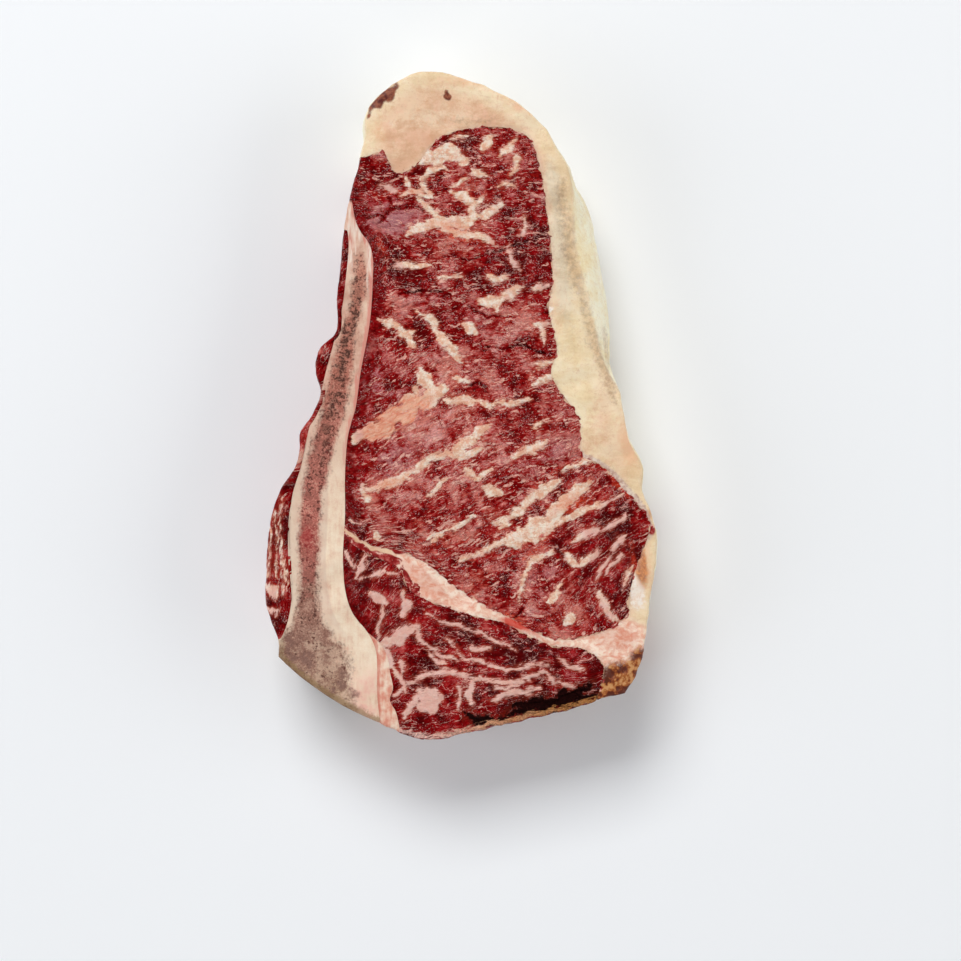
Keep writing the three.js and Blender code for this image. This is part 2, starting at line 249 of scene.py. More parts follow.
# For each edge: belly outside the drawn line, shoulder and foot inside the belly, and slow swell
EDGES = {
    "tail": (1.4, 1.8, 3, 0.5),
    "back": (0.8, 1.4, 3.2, 0.45),
    "corner": (0.9, 1, 2, 0.6),
    "dried": (1.3, 0.7, 1.8, 0.8),
    "sawn": (0.6, 0.2, 0.3, 0.05),
    "left": (0.6, 1, 2, 0.3),
}
BAND_LOW, BAND_HIGH, BAND_SHOULDER = 4, 76, 9.6  # mm, where the outer fat slopes out most

drawn = np.vstack([stretch[1:] for stretch in OUTLINE.values()])
forms = np.vstack([np.tile(EDGES[name], (len(stretch) - 1, 1)) for name, stretch in OUTLINE.items()])
on_back = np.concatenate([np.full(len(s) - 1, name == "back") for name, s in OUTLINE.items()])
along_band = np.clip((drawn[:, 1] - BAND_LOW) / (BAND_HIGH - BAND_LOW), 0, 1)
slope = np.where(on_back, BAND_SHOULDER * np.sin(np.pi * along_band**1.5) ** 0.5, 0)
forms[:, 1] = np.maximum(forms[:, 1], slope)


def blended(values, reach=16):
    """The mean over the neighbours on both sides, round the closed outline."""
    return sum(np.roll(values, shift, axis=0) for shift in range(-reach, reach + 1)) / (2 * reach + 1)


forms = blended(forms)
NEIGHBOURS = 9  # points to each side that give the outline's direction
outward = np.roll(drawn, -NEIGHBOURS, axis=0) - np.roll(drawn, NEIGHBOURS, axis=0)
outward = blended(np.stack([-outward[:, 1], outward[:, 0]], 1), 4)
outward /= np.hypot(*outward.T)[:, None]


def side(k, share, inset=0.0, rough=1.0):
    """Places on the side above the outline's points k, at a share of the thickness: the drawn point
    moved outwards by belly minus shoulder or foot times the squared distance from the belly, plus
    slow swells and, times rough, fine ones."""
    p = drawn[k]
    belly, shoulder, foot, swell = forms[k].T
    share = np.clip(share, 0, 1)
    up = np.maximum(0, (share - BELLY) / (1 - BELLY))
    down = np.maximum(0, (BELLY - share) / BELLY)
    height = share * THICKNESS / 8.5
    wander = np.sin(p[:, 1] / 6.3 + height) * np.sin(p[:, 0] / 6.3 + 1 - height) * ease(0, 0.2, share)
    fine = noise(p[:, 0] / 5, p[:, 1] / 5, share * 7, 3)
    out = belly - shoulder * up**2 - foot * down**2 + swell * (wander + rough * 0.7 * fine) - inset
    return p + outward[k] * out[:, None]


everywhere = np.arange(len(drawn))
RIM_LINE = side(everywhere, 1.0, RIM)
# Shares of the thickness at which the solids have a ring
SOLID_LEVELS = (0, 0.05, 0.2, 0.42, 0.62, 0.8, 0.93, 1)
widest = np.vstack([side(everywhere, share, rough=0.0) for share in SOLID_LEVELS])
LOW, HIGH = widest.min(0), widest.max(0)
print("drawn slab in mm:", LOW.round(1), HIGH.round(1))


def placed(xyz):
    """Drawn millimetres to metres in the frame: scaled and centred so that the slab fits the solids."""
    middle = np.append((LOW + HIGH) / 2, 0)
    scale = np.append((CAD_HIGH - CAD_LOW)[:2] / (HIGH - LOW), 1)
    return (xyz - middle) * scale / 1000


# %% [markdown]
# ## The upper face
#
# The knife leaves the face nearly flat, and then the meat relaxes: muscles swell, seams sink, and a
# fold opens beside the bone's tip. These are the solids' own forms. The fine relief is added by each
# kind of tissue later: bundles of fibres in the lean, soft waves in the fat, pits in the bone.

# %% Patches, and the height of the face
def patches(x, y, forms):
    """Sum of soft ovals: amount times exp(-(u^2 + v^2)), with u and v measured along and across each
    oval in its half length and half width. A form is x, y, half length, half width, turn, amount."""
    total = 0.0
    for cx, cy, rx, ry, turn, amount in forms:
        c, s = math.cos(math.radians(turn)), math.sin(math.radians(turn))
        u = ((x - cx) * c + (y - cy) * s) / rx
        v = ((y - cy) * c - (x - cx) * s) / ry
        total = total + amount * np.exp(-(u * u + v * v))
    return total


FACE_FORMS = [
    (-26, 69, 9.5, 3.4, 4, -3.6),
    (-20, 66, 5, 1.8, -60, -1.2),
    (-17, -52, 20, 5, -32, -0.9),
    (-31, 0, 5, 40, 8, -0.8),
    (6, -20, 34, 26, 20, 0.8),
    (2, 55, 26, 20, 0, 0.6),
    (12, -88, 26, 9, 10, 0.7),
    (44, -50, 12, 14, 0, -0.6),
    (-6, 96, 26, 9, 0, -1),
]


def face_height(x, y):
    """The plane of the cut, plus the patches above and lumps that are long with the grain."""
    grain = np.radians(8 + 26 * ease(70, -60, y))
    along = x * np.cos(grain) + y * np.sin(grain)
    across = y * np.cos(grain) - x * np.sin(grain)
    return THICKNESS + patches(x, y, FACE_FORMS) + 0.7 * lumps(along / 13, across / 6.5)


# %% [markdown]
# ## A piece between four sides
#
# Each piece runs from the upper face to the board. On the face it has four sides, each a chain of
# points. A Coons patch fills them: it blends the two pairs of opposite sides, and takes away what the
# corners would count twice. A triangulated outline would be quicker, but a grid has even cells, which
# fine relief needs. The walls go down from the patch's border, and where that border is the slab's own
# rim they follow the form of the side. The lower face has a grid of a third of the points each way.

# %% From four sides to a closed mesh
def coons(bottom, right, top, left):
    """(1-v) bottom + v top + (1-u) left + u right, minus the same blend of the four corners."""
    u = np.linspace(0, 1, len(bottom))[None, :, None]
    v = np.linspace(0, 1, len(left))[:, None, None]
    rows = (1 - v) * bottom[None] + v * top[None]
    columns = (1 - u) * left[:, None] + u * right[:, None]
    corners = (1 - v) * ((1 - u) * bottom[0] + u * bottom[-1]) + v * ((1 - u) * top[0] + u * top[-1])
    return rows + columns - corners


def border(grid):
    """The grid's border in order: along the bottom, up the right, back along the top, down the left."""
    return np.concatenate([grid[0, :-1], grid[:-1, -1], grid[-1, :0:-1], grid[:0:-1, 0]])


def unborder(loop, nu, nv):
    """The four sides of a border of nu by nv steps, each with both of its corners."""
    ring = np.vstack([loop, loop[:1]])
    top = ring[nu + nv : 2 * nu + nv + 1]
    left = ring[2 * nu + nv :]
    return ring[: nu + 1], ring[nu : nu + nv + 1], top[::-1], left[::-1]


PAIRS_AT_ONCE = 4_000_000  # distances worked out in one go, so that memory stays small


def nearest(points, line_points):
    """For each point the number of the nearest point of a line, and the distance to it."""
    points, line_points = np.asarray(points, np.float32), np.asarray(line_points, np.float32)
    found, gap = [], []
    for part in np.array_split(points, max(1, len(points) * len(line_points) // PAIRS_AT_ONCE)):
        dx = part[:, None, 0] - line_points[None, :, 0]
        dy = part[:, None, 1] - line_points[None, :, 1]
        square = dx * dx + dy * dy
        found.append(square.argmin(1))
        gap.append(square.min(1))
    return np.concatenate(found), np.sqrt(np.concatenate(gap)).astype(float)


ON_RIM = 0.16  # mm, nearer than this to the rim a border point is taken to be on it
RIM_ANGLES = (28, 58, 90)  # degrees of the rings round the upper edge
FOOT_ANGLES = (45, 90)  # the same round the edge at the board
WALL_RINGS = 12


def slab_piece(sides, relief):
    """A closed piece: points in mm, faces, and for each point whether it is on the upper face (1), a
    wall (0) or the lower face (-1). relief(x, y, edge, rim) is the height above the plain face, where
    edge is the distance to the piece's neighbours and rim the distance to the slab's rim."""
    nu, nv = len(sides[0]) - 1, len(sides[3]) - 1
    flat = coons(*sides)
    loop = border(flat)
    k, gap = nearest(loop, RIM_LINE)
    on_rim = gap < ON_RIM
    loop[on_rim] = RIM_LINE[k[on_rim]]
    flat = coons(*unborder(loop, nu, nv))
    x, y = flat[..., 0].ravel(), flat[..., 1].ravel()
    edge = nearest(flat.reshape(-1, 2), loop[~on_rim][::2])[1]
    rim = nearest(flat.reshape(-1, 2), RIM_LINE[::2])[1]
    z = face_height(x, y) + relief(x, y, edge, rim)
    points = [np.stack([x, y, z], 1)]
    index = np.arange(x.size).reshape(nv + 1, nu + 1)
    cell = np.stack([index[:-1, :-1], index[:-1, 1:], index[1:, 1:], index[1:, :-1]], -1).reshape(-1, 4)
    quads, tris = [cell], []
    ring = border(index)
    edge_z = z[ring]
    made = x.size

    def ring_at(height, inset, coarse):
        """One more ring of points down the wall: on the rim by the form of the side, else straight."""
        nonlocal made
        pick = slice(None, None, 3 if coarse else 1)
        xy = loop[pick].copy()
        free = on_rim[pick]
        level = height[pick]
        xy[free] = side(k[pick][free], level[free] / THICKNESS, inset)
        points.append(np.column_stack([xy, level]))
        made += len(xy)
        return np.arange(made - len(xy), made)

    def join(upper, lower):
        """Faces between two rings, also where the lower one has a third of the points."""
        if len(upper) == len(lower):
            quads.append(np.stack([upper, lower, np.roll(lower, -1), np.roll(upper, -1)], 1))
            return
        a, b, c, d = upper[::3], upper[1::3], upper[2::3], np.roll(upper[::3], -1)
        low, after = lower, np.roll(lower, -1)
        for corner in ((a, low, b), (b, low, c), (c, low, after), (c, after, d)):
            tris.append(np.stack(corner, 1))

    for angle in RIM_ANGLES:
        lean = math.radians(angle)
        below = ring_at(edge_z - RIM * (1 - math.cos(lean)), RIM * (1 - math.sin(lean)), False)
        join(ring, below)
        ring = below
    for share in np.linspace(0, 1, WALL_RINGS + 1)[1:]:
        height = (edge_z - RIM) * (1 - share) + FOOT_RIM * share
        below = ring_at(height, 0.0, True)
        join(ring, below)
        ring = below
    for angle in FOOT_ANGLES:
        lean = math.radians(angle)
        height = np.full(len(loop), FOOT_RIM * (1 - math.sin(lean)))
        below = ring_at(height, FOOT_RIM * 0.6 * (1 - math.cos(lean)), True)
        join(ring, below)
        ring = below

    foot = points[-1][:, :2]
    under = coons(*unborder(foot, nu // 3, nv // 3))
    index = np.full(under.shape[:2], -1)
    inner = under[1:-1, 1:-1].reshape(-1, 2)
    points.append(np.column_stack([inner, np.zeros(len(inner))]))
    index[1:-1, 1:-1] = made + np.arange(len(inner)).reshape(index[1:-1, 1:-1].shape)
    bottom, right, top, left = unborder(ring[:, None], nu // 3, nv // 3)
    index[0], index[:, -1], index[-1], index[:, 0] = bottom[:, 0], right[:, 0], top[:, 0], left[:, 0]
    quads.append(
        np.stack([index[:-1, :-1], index[1:, :-1], index[1:, 1:], index[:-1, 1:]], -1).reshape(-1, 4),
    )
    points = np.vstack(points)
    kind = np.zeros(len(points))
    kind[: x.size] = 1
    kind[-len(inner):] = -1
    return points, np.vstack(quads), np.vstack(tris), kind


def add_piece(name, points, quads, tris, node):
    """Put the points and faces into a mesh, shade it smooth, hang it under the root body, and hide the solid
    that it stands for.
    """
    mesh = bpy.data.meshes.new(name)
    faces = np.concatenate([quads.ravel(), tris.ravel()])
    sizes = np.concatenate([np.full(len(quads), 4), np.full(len(tris), 3)])
    mesh.vertices.add(len(points))
    mesh.vertices.foreach_set("co", placed(points).ravel())
    mesh.loops.add(len(faces))
    mesh.loops.foreach_set("vertex_index", faces)
    mesh.polygons.add(len(sizes))
    mesh.polygons.foreach_set("loop_start", np.concatenate([[0], np.cumsum(sizes)[:-1]]))
    mesh.update(calc_edges=True)
    mesh.shade_smooth()
    piece = bpy.data.objects.new(name, mesh)
    bpy.context.scene.collection.objects.link(piece)
    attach(piece, "root")
    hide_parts(node)
    return piece


def keep(piece, **values):
    """Store numbers of the points as attributes of the mesh, for the materials to read."""
    for name, value in values.items():
        vector = np.ndim(value) == 2
        made = piece.data.attributes.new(name, "FLOAT_VECTOR" if vector else "FLOAT", "POINT")
        made.data.foreach_set(
            "vector" if vector else "value", np.ascontiguousarray(value, np.float32).ravel(),
        )


SHARP = math.radians(62)  # edges that turn more than this aren't shaded smooth


def close_tips(piece):
    """Merge points that lie on each other where a piece tapers to nothing, and sharpen its borders."""
    work = bmesh.new()
    work.from_mesh(piece.data)
    bmesh.ops.remove_doubles(work, verts=work.verts, dist=1e-7)
    bmesh.ops.dissolve_degenerate(work, edges=work.edges, dist=1e-8)
    work.to_mesh(piece.data)
    work.free()
    piece.data.set_sharp_from_angle(angle=SHARP)
    triangles = sum(len(f.vertices) - 2 for f in piece.data.polygons)
    print(piece.name, "has", triangles, "triangles")


def built(name, sides, relief, node, fields):
    """Make a piece between four sides, and keep its fields, worked out by fields(points), and which of
    its points are on the upper face."""
    points, quads, tris, kind = slab_piece(sides, relief)
    piece = add_piece(name, points, quads, tris, node)
    keep(piece, **fields(points), upper=kind)
    close_tips(piece)
    return piece


# %% [markdown]
# ## Where the lines meet
#
# The pieces share their lines, so that no gap opens between them. A line is cut where it crosses
# another line or the rim, and each piece is then named by its four sides.

# %% Cutting lines at their crossings
def crossing(one, other, near, reach=9):
    """The numbers of the two points where two chains come closest, looking near a place."""
    picked = np.flatnonzero(np.hypot(*(one - near).T) < reach)
    found, gap = nearest(one[picked], other)
    best = gap.argmin()
    return picked[best], found[best]


def cut(points, start, end):
    """The stretch of a chain from one number to the other, turned round if they run backwards."""
    return points[start : end + 1] if start <= end else points[end : start + 1][::-1]


def cut_rim(start, end):
    """The shorter way along the rim between two of its points."""
    size = len(RIM_LINE)
    ahead = (end - start) % size
    steps = np.arange(ahead + 1) if ahead <= size / 2 else -np.arange(size - ahead + 1)
    return RIM_LINE[(start + steps) % size]


def chain(*stretches):
    """Stretches end to end as one chain."""
    return np.vstack([s if n == 0 else s[1:] for n, s in enumerate(stretches)])


def chain_length(points):
    """The length of a chain of points in mm."""
    return np.hypot(*np.diff(points, axis=0).T).sum()


def four(bottom, right, top, left, width=0.0, step=FINE):
    """Four sides with equal steps on opposite sides, in numbers that a third divides. A piece that is
    pointed at both ends has its width in mm given, as its bottom and top have no length."""
    length = [chain_length(s) for s in (bottom, right, top, left)]
    length[0] = max(length[0], width)
    nu, nv = (max(3, 3 * math.ceil(max(pair) / step / 3)) for pair in (length[::2], length[1::2]))
    sides = [spaced(s, count=n) for s, n in ((bottom, nu), (right, nv), (top, nu), (left, nv))]
    return sides


def stop_at(line_points, start, end, first=None, last=None):
    """A stretch whose ends are moved exactly onto the points that they meet."""
    stretch = cut(line_points, start, end).copy()
    if first is not None:
        stretch[0] = first
    if last is not None:
        stretch[-1] = last
    return stretch


def kept_inside(stretch, least=0.45, fade=3.0):
    """A stretch whose inner points are moved in from the rim until at least a little lies between. The
    least gap fades to nothing towards both ends, which are on the rim."""
    k = nearest(stretch, RIM_LINE)[0]
    depth = ((RIM_LINE[k] - stretch) * outward[k]).sum(1)
    run = np.concatenate([[0], np.cumsum(np.hypot(*np.diff(stretch, axis=0).T))])
    wanted = least * ease(0, fade, np.minimum(run, run[-1] - run))
    return stretch - outward[k] * np.maximum(0, wanted - depth)[:, None]


# the bone's tip, its foot, and the corners of the muscles
bone_tip, rim_tip = crossing(BONE_RIGHT, RIM_LINE, (-36, 69))
bone_shoulder, rim_shoulder = crossing(BONE_LEFT, RIM_LINE, (-36.5, 57.5), 3)
bone_heel, rim_heel = crossing(BONE_LEFT, RIM_LINE, (-58.5, -79))
bone_toe, rim_toe = crossing(BONE_RIGHT, RIM_LINE, (-25, -103))
band_toe, rim_band = crossing(BAND_RIGHT, RIM_LINE, (-20, -104))
band_top, bone_at_band = crossing(BAND_RIGHT, BONE_RIGHT, (-29.5, -74))
seam_bone, bone_at_seam = crossing(EYE_AGAINST_SEAM, BONE_RIGHT, (-37, -39))
lower_bone, bone_at_lower = crossing(SEAM_AGAINST_LOWER, BONE_RIGHT, (-37, -43))
lower_toe, rim_lower = crossing(SEAM_AGAINST_LOWER, RIM_LINE, (44, -95))
eye_tail, rim_tail = crossing(EYE_AGAINST_FAT, RIM_LINE, (-33, 79.5))
eye_right = nearest(np.array([[50.0, -71.6]]), EYE_AGAINST_FAT)[0][0]
eye_top = nearest(np.array([[22.5, 86.5]]), EYE_AGAINST_FAT)[0][0]
lower_right = nearest(np.array([[45.0, -82.3]]), SEAM_AGAINST_LOWER)[0][0]

eye_seam_side = chain(
    stop_at(EYE_AGAINST_SEAM, seam_bone, 0, BONE_RIGHT[bone_at_seam], EYE_AGAINST_FAT[-1]),
    cut(EYE_AGAINST_FAT, len(EYE_AGAINST_FAT) - 1, eye_right),
)
eye_fat_side = cut(EYE_AGAINST_FAT, eye_right, eye_top)
eye_tail_side = stop_at(EYE_AGAINST_FAT, eye_tail, eye_top, RIM_LINE[rim_tail])
eye_bone_side = chain(
    stop_at(BONE_RIGHT, bone_at_seam, bone_tip, None, RIM_LINE[rim_tip]), cut_rim(rim_tip, rim_tail)
)
lower_seam_side = stop_at(SEAM_AGAINST_LOWER, lower_bone, lower_right, BONE_RIGHT[bone_at_lower])
lower_fat_side = stop_at(SEAM_AGAINST_LOWER, lower_toe, lower_right, RIM_LINE[rim_lower])
band_side = stop_at(BAND_RIGHT, band_toe, band_top, RIM_LINE[rim_band], BONE_RIGHT[bone_at_band])
lower_bone_side = chain(band_side, cut(BONE_RIGHT, bone_at_band, bone_at_lower))
bone_left_side = kept_inside(
    stop_at(BONE_LEFT, bone_heel, bone_shoulder, RIM_LINE[rim_heel], RIM_LINE[rim_shoulder])
)

SIDES = {
    "eye": four(eye_seam_side, eye_fat_side, eye_tail_side, eye_bone_side),
    "lower": four(cut_rim(rim_band, rim_lower), lower_fat_side, lower_seam_side, lower_bone_side),
    "bone": four(
        cut_rim(rim_heel, rim_toe),
        stop_at(BONE_RIGHT, bone_toe, bone_tip, RIM_LINE[rim_toe], RIM_LINE[rim_tip]),
        np.tile(RIM_LINE[rim_tip], (2, 1)),
        chain(bone_left_side, cut_rim(rim_shoulder, rim_tip)),
    ),
    "side": four(
        np.tile(RIM_LINE[rim_heel], (2, 1)),
        bone_left_side,
        np.tile(RIM_LINE[rim_shoulder], (2, 1)),
        cut_rim(rim_heel, rim_shoulder),
        width=9.0,
    ),
    "band": four(
        cut_rim(rim_toe, rim_band),
        band_side,
        np.tile(BONE_RIGHT[bone_at_band], (2, 1)),
        stop_at(BONE_RIGHT, bone_toe, bone_at_band, RIM_LINE[rim_toe]),
    ),
}

# %% [markdown]
# The fat is a long strip: it starts as the seam between the muscles, widens to the corner, runs up the
# back and round the tail. Its inner and outer lines differ a lot in length, so they are matched at
# stations, pairs of places that face each other, and only between two stations by equal shares.

# %% The fat as a strip between stations
rim_back_low, rim_back_high = nearest(np.array([[64.0, -41.0], [36.0, 76.0]]), RIM_LINE)[0]
fat_inner = chain(eye_seam_side, eye_fat_side, eye_tail_side[::-1])
fat_outer = chain(
    lower_seam_side, lower_fat_side[::-1],
    cut_rim(rim_lower, rim_back_low), cut_rim(rim_back_low, rim_back_high), cut_rim(rim_back_high, rim_tail),
)
STATIONS = [
    ((12.5, -67), (14, -70.5)), ((28.8, -75.4), (28.8, -77.4)), ((38, -75.6), (38, -78.8)),
    ((44.5, -74), (44.8, -81.8)), ((48.5, -72.6), (46.4, -88)), ((51.5, -70.8), (44.3, -95.5)),
    ((54, -68), (53.6, -93.5)), ((54.5, -63.5), (60, -76)), ((56, -55.8), (62.5, -57)),
    ((61.5, -39.4), (63.6, -40.5)), ((56.3, -31), (60.6, -31)), ((48.2, -21.7), (59.3, -21)),
    ((44, -18.5), (57.5, -17)), ((38.5, -5), (53.2, -5)), ((29.5, 10), (50, 11)), ((31.3, 17), (48.5, 19)),
    ((28.8, 31.5), (43.5, 33)), ((28, 63.5), (38, 65)), ((22.5, 86.5), (31, 88)), ((17, 89.3), (20, 97.8)),
    ((-1.5, 88.5), (-2.5, 107)), ((-9.5, 83.5), (-14, 107.4)), ((-14, 77.5), (-22, 104)),
    ((-20.5, 75), (-29, 98.5)), ((-25, 81.5), (-31, 88)),
]


def stretches(points, places):
    """A chain cut at the points nearest to the places."""
    stops = [0, *nearest(np.array(places, float), points)[0], len(points) - 1]
    return [points[a : b + 1] for a, b in zip(stops, stops[1:])]


def stationed(points, places, counts):
    """A chain in stretches from place to place, each with its own number of equal steps."""
    return chain(*(spaced(part, count=n) for part, n in zip(stretches(points, places), counts)))


inner_places, outer_places = zip(*STATIONS)
facing = zip(stretches(fat_inner, inner_places), stretches(fat_outer, outer_places))
longest = np.array([max(chain_length(inner), chain_length(outer)) for inner, outer in facing])
FAT_ALONG, FAT_ACROSS = FINE * 1.25, FINE * 1.6  # mm between points, along and across the strip
FAT_WIDTH = 24  # mm, the widest place of the strip
counts = 3 * np.ceil(longest / FAT_ALONG / 3).astype(int)
fat_across = 3 * math.ceil(FAT_WIDTH / FAT_ACROSS / 3)
SIDES["fat"] = [
    stationed(fat_outer, outer_places, counts),
    np.tile(RIM_LINE[rim_tail], (fat_across + 1, 1)),
    stationed(fat_inner, inner_places, counts),
    spaced(np.array([BONE_RIGHT[bone_at_lower], BONE_RIGHT[bone_at_seam]]), count=fat_across),
]
for name, sides in SIDES.items():
    flat = coons(*sides)
    a, b = flat[:-1, 1:] - flat[:-1, :-1], flat[1:, :-1] - flat[:-1, :-1]
    area = a[..., 0] * b[..., 1] - a[..., 1] * b[..., 0]
    print(
        name, "grid", area.shape, "turned cells", int((area < -1e-4).sum()), "area mm2", area.sum().round(),
    )

# %% [markdown]
# ## Grain and marbling
#
# Muscle fibres run through the slab, and their bundles show on the cut face as lumps that are long in
# one direction, which turns from level at the tail to steep at the lower right. The turning is blended
# from a few given directions. The main streaks of marbling are listed too, as a steak is
# known by them, and each is a stroke with a width that tapers. Its field is the distance inside the
# stroke, in millimetres, so a material can still sharpen or fray its edge. All the small flecks are
# left to the material.

# %% The grain's directions
# Middle of each direction, how far it reaches, and its turn in degrees
GRAIN = [
    (0, 75, 26, 2), (10, 25, 26, 8), (-20, 0, 20, 26), (5, -35, 22, 26), (45, -32, 18, 32),
    (48, -60, 16, 46), (10, -86, 22, 8), (-28, -58, 12, 60), (-62, -40, 14, 80), (-42, 20, 10, 80),
    (-38, 50, 9, 84), (-52, -12, 9, 80),
]


def grain_at(x, y):
    """Distances along and across the grain: each direction's own straight ruler, joined to the mean
    ruler at its middle, and the rulers blended by their nearness."""
    mean = math.radians(20)
    weight = along = across = 0.0
    for cx, cy, reach, turn in GRAIN:
        c, s = math.cos(math.radians(turn)), math.sin(math.radians(turn))
        near = np.exp(-((x - cx) ** 2 + (y - cy) ** 2) / reach**2) + 1e-9
        start = cx * math.cos(mean) + cy * math.sin(mean)
        beside = cy * math.cos(mean) - cx * math.sin(mean)
        weight = weight + near
        along = along + near * (start + (x - cx) * c + (y - cy) * s)
        across = across + near * (beside + (y - cy) * c - (x - cx) * s)
    return along / weight, across / weight


